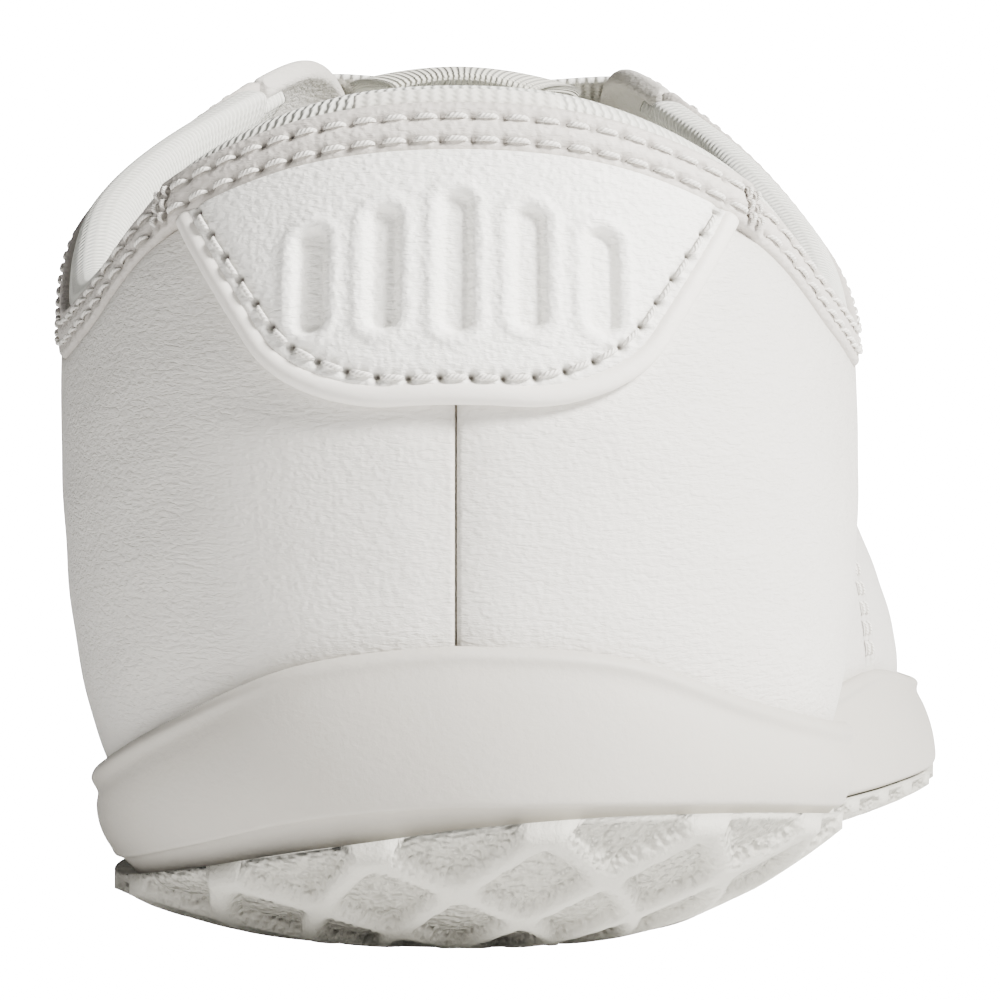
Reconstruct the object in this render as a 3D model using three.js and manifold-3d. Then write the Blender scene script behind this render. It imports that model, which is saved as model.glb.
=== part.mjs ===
// A low-cut soft training shoe for the right foot, built up from its separate pieces.
// Millimetres, +Z up, the toe towards +Y and the outer (lateral) side towards +X.
//
// Every piece of the upper is a strip of one "last" surface. The surface is wrapped round the
// foot: position a runs along the sole outline, 0 at the middle of the heel, +1 at the toe by
// the lateral side and -1 at the same toe point by the medial side. Depth h runs down the
// surface from the top edge, and depth d runs inwards from the outer face.
import * as THREE from 'three';
import { mergeVertices } from 'three/addons/utils/BufferGeometryUtils.js';
import Module from 'manifold-3d';

// ---------------------------------------------------------------- driving dimensions
const GAP = 0.3; // clearance between neighbouring pieces
const FLOOR = 9.5; // height of the cup sole's inner floor
const TOE_SPRING = 7; // how far the toe end of the sole lifts
const SPRING_START = 205;
const SPRING_LENGTH = 60;
const LEATHER = 1.4;
const LINING = 0.8;
const LINING_DEPTH = 3.2; // outer face of the lining, below the collar padding
const BINDING = 4; // width of the stitched strips along the collar
const FACING = 13; // width of the eyestays
const EYELET_DEPTH = 6.5; // from the throat edge to an eyelet's centre
const EYELET_RADIUS = 2.4;
const FOAM_HEIGHT = 20; // of the collar padding
const FOAM_THICK = 5.2;
const TONGUE_DEPTH = 3; // outer face of the tongue
const TONGUE_THICK = 3.6;
const TIP_LENGTH = 13; // free end of the tongue, above the lacing
const LACE_WIDE = 6;
const LACE_THICK = 1.2;
const STATIONS_PER_SIDE = 22;

// Stations from the heel (0) to the toe (14): the sole outline [x, y] on each side.
const OUTLINE_LATERAL = [
  [0, -1], [13, 1.3], [24, 8.5], [31.5, 20], [34.5, 37], [34.5, 60], [36, 85], [41.5, 110],
  [50.5, 137], [58.5, 165], [61, 193], [57, 217], [45, 239], [23.5, 256], [-6, 263],
];
const OUTLINE_MEDIAL = [
  [0, -1], [-13, 1.3], [-24, 8.5], [-31, 20], [-33.5, 37], [-32.5, 60], [-31.5, 85], [-33, 110],
  [-37.5, 137], [-42.5, 165], [-45.5, 193], [-45, 217], [-40.5, 238], [-28, 256], [-6, 263],
];
// The top edge of the upper at the same stations: [half width, y, z]. Stations 0 to 7 are the
// collar, 7 is the corner at the top eyelet, and 7 to 14 are the throat. The medial side of the
// collar stands higher.
const HEEL_EDGE = [[0, 6, 69.5], [12.5, 7.6, 68.2], [24, 13.5, 63.5], [31.5, 25, 56.7]];
const THROAT_EDGE = [
  [14, 118, 80.5], [13.5, 135, 72.5], [12.5, 149, 65.5], [10.5, 157.5, 61], [7.5, 162, 58.8],
  [4, 164.3, 57.8], [0, 165, 57.5],
];
const TOP_LATERAL = [
  ...HEEL_EDGE, [35.5, 41, 54.5], [34.8, 59, 62], [28, 80, 73.8], [17, 101, 84.5], ...THROAT_EDGE,
];
const TOP_MEDIAL = [
  ...HEEL_EDGE, [36, 41, 55.5], [36.5, 59, 64.8], [30, 80, 75], [17.5, 101, 85.5], ...THROAT_EDGE,
];
const THROAT_SHIFT = 4; // the throat's foot lies this far towards the lateral side
// How each section bulges: [tuck under the foot, rise, reach outwards, drop] at the stations.
const SECTION = [
  [9, 13, 8, 24], [9, 13, 7, 22], [8.5, 13, 5, 19], [8, 12, 2.5, 16], [8, 12, 0.8, 15],
  [7.5, 13, 2, 15], [7, 15, 7, 14], [6.5, 18, 15, 10], [6, 20, 18, 9], [6, 22, 21, 8],
  [6, 22, 25, 8], [6, 22, 30, 8.5], [6, 21, 36, 9.5], [6.5, 20, 43, 11], [7, 19, 49, 11.5],
];
// The sole wall's wavy top line, and the height where the tread's rounded edge ends.
const WALL_TOP_LATERAL = [
  26.5, 25.6, 21.8, 19.4, 18.3, 16.8, 15.6, 15.8, 17.8, 15.6, 14.6, 15.2, 16.6, 17.6, 17.8,
];
const WALL_TOP_MEDIAL = [
  26.5, 24.8, 20.1, 16.2, 14.6, 15.5, 18, 19.6, 18.6, 16.2, 14.6, 15, 16.4, 17.4, 17.8,
];
const EDGE_LATERAL = [11.8, 11.8, 11.3, 10.2, 8.8, 6.5, 4.5, 3.2, 2.6, 2.4, 2.4, 2.6, 3, 3.4, 3.6];
const EDGE_MEDIAL = [11.8, 10.4, 7.8, 5.8, 4.8, 4.2, 3.6, 3, 2.6, 2.4, 2.4, 2.6, 3, 3.4, 3.6];
const EDGE_ROUNDING = [22, 22, 22, 22, 22, 18, 13, 9.5, 7.5, 7, 7, 7.5, 9, 10, 11];

// Where the panels end, as positions round the outline.
const COUNTER_END = 6 / STATIONS_PER_SIDE;
const BAND_HALF = 0.143;
const PATCH_HALF = 0.1225; // at the patch's upper edge
const COLLAR_END = 0.47;
const VAMP_START = 13 / STATIONS_PER_SIDE;
const PUFF_START = 19 / STATIONS_PER_SIDE;
const TONGUE_HINGE = 11 / STATIONS_PER_SIDE;
const THROAT_FOOT = 20 / STATIONS_PER_SIDE - 0.003;
const EYELETS = [0.545, 0.604, 0.663, 0.722, 0.781];

// ---------------------------------------------------------------- materials
const material = (colour, roughness) =>
  new THREE.MeshStandardMaterial({ color: colour, roughness, metalness: 0 });
const LEATHER_WHITE = material(0xe9e8e3, 0.55);
const TRIM_GREY = material(0xd9d5d0, 0.6);
const TEXTILE = material(0xdfe0da, 0.9);
const FOAM = material(0xece6d2, 0.95);
const RUBBER = material(0xd6d3d0, 0.7);
const BOARD = material(0xcdbb98, 0.85);

// ---------------------------------------------------------------- interpolation
const STATIONS = TOP_LATERAL.length - 1;

// One value out of a station list, by a uniform Catmull-Rom spline.
function atStation(list, side) {
  const position = Math.min(Math.abs(side), 1) * STATIONS;
  const k = Math.min(Math.floor(position), STATIONS - 1);
  const pick = (i) => list[Math.min(Math.max(i, 0), STATIONS)];
  const [p0, p1, p2, p3] = [pick(k - 1), pick(k), pick(k + 1), pick(k + 2)];
  const t = position - k;
  const slope1 = (p2 - p0) / 2;
  const slope2 = (p3 - p1) / 2;
  const t2 = t * t;
  const t3 = t2 * t;
  return (2 * t3 - 3 * t2 + 1) * p1 + (t3 - 2 * t2 + t) * slope1
    + (3 * t2 - 2 * t3) * p2 + (t3 - t2) * slope2;
}

function smooth(from, to, x) {
  const t = Math.min(Math.max((x - from) / (to - from), 0), 1);
  return t * t * (3 - 2 * t);
}

const mix = (a, b, t) => a + (b - a) * t;
const range = (from, to, steps) =>
  Array.from({ length: steps + 1 }, (_, i) => mix(from, to, i / steps));

// A closed curve through the lateral stations and back through the medial ones.
function closedCurve(lateral, medial) {
  const points = [...lateral, ...medial.slice(1, -1).reverse()];
  return new THREE.CatmullRomCurve3(points, true, 'catmullrom', 0.5);
}

const flatPoint = ([x, y]) => new THREE.Vector3(x, y, 0);
const outlineCurve = closedCurve(OUTLINE_LATERAL.map(flatPoint), OUTLINE_MEDIAL.map(flatPoint));
const throatShift = (y) => THROAT_SHIFT * Math.min(Math.max((y - 100) / 65, 0), 1);
const topPoint = (side) => ([half, y, z]) =>
  new THREE.Vector3(side * half + throatShift(y), y, z);
const topCurve = closedCurve(TOP_LATERAL.map(topPoint(1)), TOP_MEDIAL.map(topPoint(-1)));

// Positions run on past the toe: 1.2 is the same place as -0.8.
const wrap = (a) => (((a / 2) % 1) + 1) % 1;
const signed = (a) => (a > 1 ? a - 2 : a);
const outline = (a) => outlineCurve.getPoint(wrap(a));
const topEdge = (a) => topCurve.getPoint(wrap(a));

// The outline's outward direction, in plan.
function outward(a) {
  const step = 1e-3;
  const along = outline(a + step).sub(outline(a - step));
  return new THREE.Vector3(along.y, -along.x, 0).normalize();
}

const spring = (y) => TOE_SPRING * Math.max((y - SPRING_START) / SPRING_LENGTH, 0) ** 2;

// ---------------------------------------------------------------- the last surface
const section = (i, a) => atStation(SECTION.map((row) => row[i]), signed(a));

// The section at a is a cubic Bezier curve from under the foot up to the top edge.
function sectionCurve(a) {
  const edge = outline(a);
  const out = outward(a);
  const top = topEdge(a);
  const foot = edge.clone().addScaledVector(out, -section(0, a));
  foot.z = FLOOR + spring(foot.y);
  const low = edge.clone().addScaledVector(out, -2 + 4 * smooth(0, 0.25, Math.abs(signed(a))));
  low.z = section(1, a) + spring(low.y);
  const reach = edge.clone().sub(top).setZ(0).addScaledVector(out, 20).normalize();
  const high = top.clone().addScaledVector(reach, section(2, a));
  high.z = top.z - section(3, a);
  return new THREE.CubicBezierCurve3(foot, low, high, top);
}

const SAMPLES = 40;
const sections = new Map();

// The section curve with its running length measured down from the top edge.
function measured(a) {
  const key = a.toFixed(6);
  if (!sections.has(key)) {
    const curve = sectionCurve(a);
    const points = range(1, 0, SAMPLES).map((t) => curve.getPoint(t));
    const lengths = [0];
    for (let i = 1; i <= SAMPLES; i += 1) {
      lengths.push(lengths[i - 1] + points[i].distanceTo(points[i - 1]));
    }
    sections.set(key, { curve, points, lengths });
  }
  return sections.get(key);
}

// The point and outward normal at curve position t.
function surfaceAt(a, t) {
  const step = 1e-3;
  const point = measured(a).curve.getPoint(t);
  const up = measured(a).curve.getTangent(t);
  const ahead = measured(a + step).curve.getPoint(t);
  const behind = measured(a - step).curve.getPoint(t);
  const normal = ahead.sub(behind).cross(up).normalize();
  return { point, normal, up };
}

// The curve position at depth h down the surface from the top edge.
function levelAt(a, h) {
  const { lengths } = measured(a);
  const below = Math.min(Math.max(h, 0), lengths[SAMPLES]);
  let i = 1;
  while (i < SAMPLES && lengths[i] < below) i += 1;
  const part = (below - lengths[i - 1]) / (lengths[i] - lengths[i - 1]);
  return 1 - (i - 1 + part) / SAMPLES;
}

// The point at depth h down the surface and d inwards. A negative h stands above the edge.
function at(a, h, d) {
  const { point, normal, up } = surfaceAt(a, levelAt(a, h));
  return point.addScaledVector(normal, -d).addScaledVector(up, Math.max(-h, 0));
}

// The depth h at which the surface reaches height z.
function depthAt(a, z) {
  const { points, lengths } = measured(a);
  let i = 1;
  while (i < SAMPLES && points[i].z > z) i += 1;
  const part = (points[i - 1].z - z) / (points[i - 1].z - points[i].z);
  return mix(lengths[i - 1], lengths[i], Math.min(Math.max(part, 0), 1));
}

const floorDepth = (a, above) => depthAt(a, FLOOR + spring(outline(a).y) + above);

// Every piece shares these lines across and along the surface, so that the flat faces of
// neighbouring layers stay parallel.
const LEVELS = [1, 0.92, 0.83, 0.73, 0.62, 0.5, 0.38, 0.27, 0.17, 0.08, 0];

function stations(from, to) {
  const first = Math.floor(from * STATIONS_PER_SIDE) + 1;
  const last = Math.ceil(to * STATIONS_PER_SIDE) - 1;
  const between = range(first, last, Math.max(last - first, 0)).map((i) => i / STATIONS_PER_SIDE);
  const inside = between.filter((a) => a - from > 0.002 && to - a > 0.002);
  return [from, ...inside, to];
}

// Points from depth h1 down to depth h2, all d inwards. Levels beyond either end fold onto it.
function column(a, h1, h2, d) {
  const high = levelAt(a, h1);
  const low = levelAt(a, h2);
  return LEVELS.map((level) => {
    const { point, normal } = surfaceAt(a, Math.min(Math.max(level, low), high));
    return point.addScaledVector(normal, -d);
  });
}

// ---------------------------------------------------------------- meshes
const pieces = new THREE.Group();

function addPiece(name, geometry, look) {
  const mesh = new THREE.Mesh(geometry, look);
  mesh.name = name;
  pieces.add(mesh);
}

// Joins quads of points into one closed body whose faces point outwards.
class Body {
  constructor() {
    this.coords = [];
    this.index = new Map();
    this.triangles = [];
  }

  vertex(p) {
    const key = `${p.x.toFixed(3)},${p.y.toFixed(3)},${p.z.toFixed(3)}`;
    if (!this.index.has(key)) {
      this.index.set(key, this.coords.length / 3);
      this.coords.push(p.x, p.y, p.z);
    }
    return this.index.get(key);
  }

  triangle(p, q, r) {
    const [i, j, k] = [p, q, r].map((v) => this.vertex(v));
    if (i !== j && j !== k && k !== i) this.triangles.push([i, j, k]);
  }

  quad(p, q, r, s) {
    this.triangle(p, q, r);
    this.triangle(p, r, s);
  }

  // A grid of rows of points, joined in order.
  rows(grid) {
    for (let i = 0; i + 1 < grid.length; i += 1) {
      for (let j = 0; j + 1 < grid[i].length; j += 1) {
        this.quad(grid[i][j], grid[i + 1][j], grid[i + 1][j + 1], grid[i][j + 1]);
      }
    }
  }

  geometry() {
    const corner = (i) => new THREE.Vector3().fromArray(this.coords, 3 * i);
    let volume = 0;
    for (const [i, j, k] of this.triangles) volume += corner(i).dot(corner(j).cross(corner(k)));
    if (volume < 0) this.triangles.forEach((t) => t.reverse());
    const geometry = new THREE.BufferGeometry();
    geometry.setAttribute('position', new THREE.Float32BufferAttribute(this.coords, 3));
    geometry.setIndex(this.triangles.flat());
    geometry.computeVertexNormals();
    return geometry;
  }
}

// Sweeps closed loops of points along a, and closes both ends by pairing opposite points.
function sweep(positions, loopAt) {
  const body = new Body();
  const loops = positions.map(loopAt);
  body.rows(loops.map((loop) => [...loop, loop[0]]));
  for (const [loop, turned] of [[loops[0], false], [loops[loops.length - 1], true]]) {
    const last = loop.length - 1;
    for (let j = 0; j < (last - 1) / 2; j += 1) {
      const corners = [loop[j], loop[j + 1], loop[last - j - 1], loop[last - j]];
      body.quad(...(turned ? corners.reverse() : corners));
    }
  }
  return body.geometry();
}

// A panel of even thickness between depths top(a) and bottom(a).
function panel(positions, top, bottom, outside, inside) {
  return sweep(positions, (a) => [
    ...column(a, top(a), bottom(a), outside),
    ...column(a, top(a), bottom(a), inside).reverse(),
  ]);
}

// ---------------------------------------------------------------- sole
const HALF = range(0, 1, STATIONS_PER_SIDE);
const ROUND = [...HALF, ...HALF.slice(1, -1).reverse().map((a) => -a), 0];

const sideValue = (lateral, medial) => (a) => atStation(a < 0 ? medial : lateral, a);
const wallTop = sideValue(WALL_TOP_LATERAL, WALL_TOP_MEDIAL);
const edgeHeight = sideValue(EDGE_LATERAL, EDGE_MEDIAL);
const rounding = sideValue(EDGE_ROUNDING, EDGE_ROUNDING);

const TREAD_INSET = 1; // the wall stands this far out over the tread
const TREAD_EDGE = 1.5; // thickness of the tread at its edge
const TREAD_CENTRE = 3.6; // and over the flat middle
const CUP_GAP = 0.5; // between the cup's wall and the upper
const WALL_THICK = 2.6;
const RIM_THICK = 1.8;

// A point under the shoe, e in from the outline, lifted by the tread's rounded edge.
function underside(a, e, lift) {
  const p = outline(a).addScaledVector(outward(a), -e);
  const inner = Math.max(1 - e / rounding(a), 0);
  p.z = edgeHeight(a) * inner * inner + spring(p.y) + lift(1 - inner);
  return p;
}

const treadThickness = (inner) => mix(TREAD_EDGE, TREAD_CENTRE, inner);

// Rings from the outline in to the flat middle.
function rings(from, lift) {
  const steps = [0, 0.2, 0.45, 0.72, 1];
  return steps.map((f) => ROUND.map((a) => underside(a, mix(from, rounding(a), f), lift)));
}

// Fills the inside of a ring with cross rows from the medial to the lateral side.
function fill(body, ring, turned) {
  const count = ring.length - 1;
  const rows = HALF.map((_, i) => {
    const lateral = ring[i];
    const medial = ring[(count - i) % count];
    const row = range(0, 1, 4).map((u) => medial.clone().lerp(lateral, u));
    return turned ? row.reverse() : row;
  });
  body.rows(rows);
}

function tread() {
  const body = new Body();
  const under = rings(TREAD_INSET, () => 0);
  const over = rings(TREAD_INSET, treadThickness);
  body.rows(under);
  body.rows([over[0], under[0]]);
  body.rows([...over].reverse());
  fill(body, under[under.length - 1], false);
  fill(body, over[over.length - 1], true);
  return body.geometry();
}

function cupSole() {
  const body = new Body();
  const under = rings(TREAD_INSET, (inner) => treadThickness(inner) + GAP);
  const foot = ROUND.map((a) => underside(a, 0, (inner) => treadThickness(inner) + GAP));
  const onWall = (share, thick) => ROUND.map((a) => {
    const base = edgeHeight(a) + TREAD_EDGE + GAP + spring(outline(a).y);
    const z = mix(wallTop(a) + spring(outline(a).y), base + 2, share);
    return at(a, depthAt(a, z), -thick);
  });
  const columns = ROUND.map((a) => {
    const top = depthAt(a, wallTop(a) + spring(outline(a).y));
    return column(a, top, measured(a).lengths[SAMPLES], -CUP_GAP);
  });
  const inner = LEVELS.map((_, i) => columns.map((points) => points[i])).reverse();
  const floor = inner[0];
  const wall = [
    ...inner, onWall(0.08, RIM_THICK + GAP), onWall(0.5, WALL_THICK + GAP), foot, ...under,
  ];
  body.rows(wall);
  fill(body, floor, true);
  fill(body, under[under.length - 1], false);
  return body.geometry();
}

// A flat board or pad lying inside the shoe, between heights low and high above the floor.
function inlay(margin, low, high) {
  const edge = (z) => ROUND.map((a) => {
    const p = outline(a).addScaledVector(outward(a), -section(0, a) - margin);
    p.z = FLOOR + spring(p.y) + z;
    return p;
  });
  const body = new Body();
  body.rows([edge(high), edge(low)]);
  fill(body, edge(low), false);
  fill(body, edge(high), true);
  return body.geometry();
}

addPiece('outsole_tread', tread(), RUBBER);
addPiece('midsole_cup', cupSole(), RUBBER);
addPiece('insole_board', inlay(5.5, 0.3, 1.5), BOARD);
addPiece('sock_liner', inlay(6.5, 1.8, 5), TEXTILE);

// ---------------------------------------------------------------- leather panels
const SIDES = [['lateral', 1], ['medial', -1]];
const SEAM = 0.0015; // half the back seam, as a share of the outline
const quarterTop = (a) => (Math.abs(a) < COLLAR_END ? BINDING : FACING) + GAP;
const toFloor = (a) => floorDepth(a, 0.2);

const onSide = (positions, side) => positions.map((a) => a * side);

for (const [name, side] of SIDES) {
  const collar = stations(SEAM, COLLAR_END - 0.002);
  const instep = stations(COLLAR_END + 0.002, VAMP_START - 0.002);
  const positions = onSide([...collar, ...instep], side);
  addPiece(`quarter_${name}`, panel(positions, quarterTop, toFloor, 0, LEATHER), LEATHER_WHITE);
}

// The front of the upper: one panel from the lateral side round the toe to the medial side.
const throatTop = (a) => (Math.abs(signed(a)) < THROAT_FOOT + 0.003 ? FACING + GAP : GAP);
function frontPositions(start) {
  const side = stations(start, THROAT_FOOT);
  const toe = stations(THROAT_FOOT + 0.006, 2 - THROAT_FOOT - 0.006);
  return [...side, ...toe, ...[...side].reverse().map((a) => 2 - a)];
}

const front = frontPositions(VAMP_START + 0.002);
addPiece('vamp', panel(front, throatTop, toFloor, 0, LEATHER), LEATHER_WHITE);

// ---------------------------------------------------------------- throat
const wasm = await Module();
wasm.setup();

function toSolid(geometry) {
  const plain = geometry.clone();
  plain.deleteAttribute('normal');
  plain.deleteAttribute('uv');
  const merged = mergeVertices(plain, 1e-4);
  return new wasm.Manifold(new wasm.Mesh({
    numProp: 3,
    vertProperties: Float32Array.from(merged.attributes.position.array),
    triVerts: Uint32Array.from(merged.index.array),
  }));
}

function toGeometry(solid) {
  const mesh = solid.getMesh();
  const geometry = new THREE.BufferGeometry();
  geometry.setAttribute('position', new THREE.BufferAttribute(mesh.vertProperties, 3));
  geometry.setIndex(new THREE.BufferAttribute(mesh.triVerts, 1));
  geometry.computeVertexNormals();
  return geometry;
}

// A punch through the eyestay at one eyelet.
function punch(a) {
  const outer = at(a, EYELET_DEPTH, -3);
  const inner = at(a, EYELET_DEPTH, 6);
  const cutter = new THREE.CylinderGeometry(EYELET_RADIUS, EYELET_RADIUS, 9, 10);
  const turn = new THREE.Quaternion().setFromUnitVectors(
    new THREE.Vector3(0, 1, 0), outer.clone().sub(inner).normalize());
  cutter.applyQuaternion(turn);
  cutter.translate(...outer.add(inner).multiplyScalar(0.5).toArray());
  return toSolid(cutter);
}

const EYESTAY_THICK = 2.4;
for (const [name, side] of SIDES) {
  const positions = onSide(stations(COLLAR_END + 0.006, THROAT_FOOT), side);
  const strip = panel(positions, () => 0, () => FACING, 0, EYESTAY_THICK);
  let solid = toSolid(strip);
  for (const eyelet of EYELETS) solid = solid.subtract(punch(eyelet * side));
  addPiece(`eyestay_${name}`, toGeometry(solid), LEATHER_WHITE);
}

// One row of the tongue across the throat, at depth d below the eyestays' outer face.
const TONGUE_CROWN = 2.2;
function tongueRow(a, d) {
  const wing = mix(4, 11.5, smooth(TONGUE_HINGE, 0.6, a)) - 2 * smooth(0.75, THROAT_FOOT, a);
  const side = (s) => range(wing, 0, 2).map((h) => at(s * a, h, d));
  const left = side(-1);
  const right = side(1).reverse();
  const middle = left[2].clone().lerp(right[0], 0.5);
  middle.z += TONGUE_CROWN;
  return [...left, middle, ...right];
}

function tongueLoop(a) {
  return [...tongueRow(a, TONGUE_DEPTH), ...tongueRow(a, TONGUE_DEPTH + TONGUE_THICK).reverse()];
}

addPiece('tongue', sweep(stations(TONGUE_HINGE + 0.004, THROAT_FOOT), tongueLoop), TEXTILE);

// The free end of the tongue leans back over the opening and narrows to its tip. It is narrow
// enough at the fold to pass between the eyestays.
const TIP_WIDTH = 0.76;
function tipLoop(v) {
  const centre = topEdge(TONGUE_HINGE).lerp(topEdge(-TONGUE_HINGE), 0.5);
  return tongueLoop(TONGUE_HINGE - 0.002).map((p) => {
    const across = (p.x - centre.x) * TIP_WIDTH * (1 - 0.25 * v * v);
    const drop = (p.z - centre.z) * (1 - 0.45 * v);
    return new THREE.Vector3(centre.x + across, p.y - TIP_LENGTH * v, centre.z + drop - 1.2 * v);
  });
}

addPiece('tongue_tip', sweep([0, 0.5, 0.85, 1], tipLoop), TEXTILE);

// A flat lace bar from one eyelet across the throat to the other.
function laceBar(a) {
  const side = (s) => [
    { p: at(s * a, EYELET_DEPTH, 1.6), wide: 3 },
    { p: at(s * a, EYELET_DEPTH, -0.4), wide: 3.2 },
    { p: at(s * a, EYELET_DEPTH - 2.8, -1.2), wide: LACE_WIDE },
    { p: at(s * a, 0, -1.3), wide: LACE_WIDE },
  ];
  const left = side(-1);
  const right = side(1).reverse();
  const middle = { p: left[3].p.clone().lerp(right[0].p, 0.5), wide: LACE_WIDE };
  const path = [...left, middle, ...right];
  const along = outline(a + 0.01).sub(outline(a - 0.01));
  const ahead = topEdge(a + 0.01).sub(topEdge(a - 0.01)).setX(0).normalize();
  return sweep(path.map((_, i) => i), (i) => {
    const before = path[Math.max(i - 1, 0)].p;
    const after = path[Math.min(i + 1, path.length - 1)].p;
    const thick = ahead.clone().cross(after.clone().sub(before)).normalize();
    const w = ahead.clone().multiplyScalar(path[i].wide / 2);
    const t = thick.multiplyScalar(LACE_THICK / 2);
    const corner = (x, y) => path[i].p.clone().addScaledVector(w, x).addScaledVector(t, y);
    return [corner(-1, -1), corner(1, -1), corner(1, 1), corner(-1, 1)];
  });
}

EYELETS.forEach((a, i) => addPiece(`lace_bar_${i + 1}`, laceBar(a), TEXTILE));

// ---------------------------------------------------------------- collar
for (const [name, side] of SIDES) {
  const positions = onSide(stations(BAND_HALF + 0.003, COLLAR_END), side);
  const strip = panel(positions, () => 0, () => BINDING, -0.5, LEATHER);
  addPiece(`collar_binding_${name}`, strip, TRIM_GREY);
}

// How much of the padding is left towards the front of the collar.
const padding = (a) => 1 - 0.8 * smooth(0.36, COLLAR_END - 0.01, Math.abs(a));

// The padding's inner face at depth h.
function paddingDepth(a, h) {
  const round = Math.sin(Math.PI * Math.min(Math.max((h + 2.5) / (FOAM_HEIGHT + 2.5), 0), 1));
  return LEATHER + GAP + 0.9 + (FOAM_THICK - 0.9) * padding(a) * Math.max(round, 0) ** 0.6;
}

const FOAM_GAP = 0.6;
const FOAM_ROWS = [-1.6, 0.5, 4, 9, 14.5, FOAM_HEIGHT];
const collarPositions = stations(-(COLLAR_END - 0.005), COLLAR_END - 0.005);

function foamLoop(a) {
  const outer = FOAM_ROWS.map((h) => at(a, h, LEATHER + FOAM_GAP + (h < 0 ? 0.6 : 0)));
  const inner = FOAM_ROWS.map((h) => at(a, h, paddingDepth(a, h)));
  return [...outer, ...inner.reverse()];
}

addPiece('collar_foam', sweep(collarPositions, foamLoop), FOAM);

// The lining rolls over the padding from behind the binding and runs down to the floor.
function liningPath(a) {
  const inner = (h) => Math.max(paddingDepth(a, h) + 2 * GAP, LINING_DEPTH);
  const rolled = [[-0.35, 1.1], [-1.5, 1.4], [-2.5, 2.4], [-2.4, inner(-1.2) - 0.4]];
  const down = [0.5, 4, 9, 14.5, FOAM_HEIGHT + 0.5].map((h) => [h, inner(h)]);
  return [...rolled, ...down];
}

// Moves a path of [h, d] pairs sideways by the lining's thickness.
function thickened(path) {
  return path.map(([h, d], i) => {
    const before = path[Math.max(i - 1, 0)];
    const after = path[Math.min(i + 1, path.length - 1)];
    const run = Math.hypot(after[0] - before[0], after[1] - before[1]);
    const dh = (after[0] - before[0]) / run;
    const dd = (after[1] - before[1]) / run;
    return [h - dd * LINING, d + dh * LINING];
  });
}

function liningLoop(a) {
  const path = liningPath(a);
  const place = ([h, d]) => at(a, h, d);
  const lower = (d) => column(a, FOAM_HEIGHT + 1.5, floorDepth(a, 0.4), d);
  const outer = [...path.map(place), ...lower(LINING_DEPTH)];
  const inner = [...thickened(path).map(place), ...lower(LINING_DEPTH + LINING)];
  return [...outer, ...inner.reverse()];
}

addPiece('collar_lining', sweep(collarPositions, liningLoop), TEXTILE);

const liningTop = (a) => throatTop(a) + 0.3;
const liningFoot = (a) => floorDepth(a, 0.4);
addPiece('vamp_lining', panel(frontPositions(COLLAR_END + 0.002), liningTop, liningFoot,
  LINING_DEPTH, LINING_DEPTH + LINING), TEXTILE);

addPiece('heel_counter', panel(stations(-COUNTER_END, COUNTER_END), () => FOAM_HEIGHT + 1,
  (a) => floorDepth(a, 0.5), LEATHER + GAP, LINING_DEPTH - GAP), BOARD);

addPiece('toe_puff', panel(stations(PUFF_START, 2 - PUFF_START), (a) => depthAt(a, 30 + spring(outline(a).y) / 2),
  (a) => floorDepth(a, 0.5), LEATHER + GAP, LINING_DEPTH - GAP), BOARD);

// ---------------------------------------------------------------- heel trim
const BAND_OUT = -1.7; // the band lies over the patch's thickness
const PATCH_THICK = 1.2;
const PATCH_BOTTOM = 23.2; // depth of the patch's lower edge
const PIPING = 1.3;
const PIPING_GAP = 0.45; // between the patch's edge and the rolled cord

addPiece('heel_band', panel(stations(-BAND_HALF, BAND_HALF), () => 0, () => BINDING,
  BAND_OUT, LEATHER), TRIM_GREY);

// Half width of the patch at depth h: it narrows downwards and ends in rounded corners.
function patchHalf(h) {
  const t = (h - BINDING) / (PATCH_BOTTOM - BINDING);
  const straight = PATCH_HALF - 0.0605 * t;
  const corner = Math.max(t - 0.72, 0) / 0.28;
  return straight - 0.034 * (1 - Math.sqrt(Math.max(1 - corner * corner, 0)));
}

function heelPatch() {
  const rows = range(0, 1, 8).map((t) => mix(BINDING + GAP, PATCH_BOTTOM, Math.sin(t * Math.PI / 2)));
  const across = range(-1, 1, 8);
  const face = (d) => rows.map((h) => across.map((u) => at(u * patchHalf(h), h, d)));
  const outer = face(-GAP - PATCH_THICK);
  const inner = face(-GAP);
  const body = new Body();
  body.rows(outer);
  body.rows(inner.map((row) => [...row].reverse()));
  body.rows([inner[0], outer[0]]);
  body.rows([outer[outer.length - 1], inner[inner.length - 1]]);
  body.rows([outer.map((row) => row[0]), inner.map((row) => row[0])]);
  body.rows([inner.map((row) => row[8]), outer.map((row) => row[8])]);
  return body.geometry();
}

addPiece('heel_patch', heelPatch(), LEATHER_WHITE);

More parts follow.
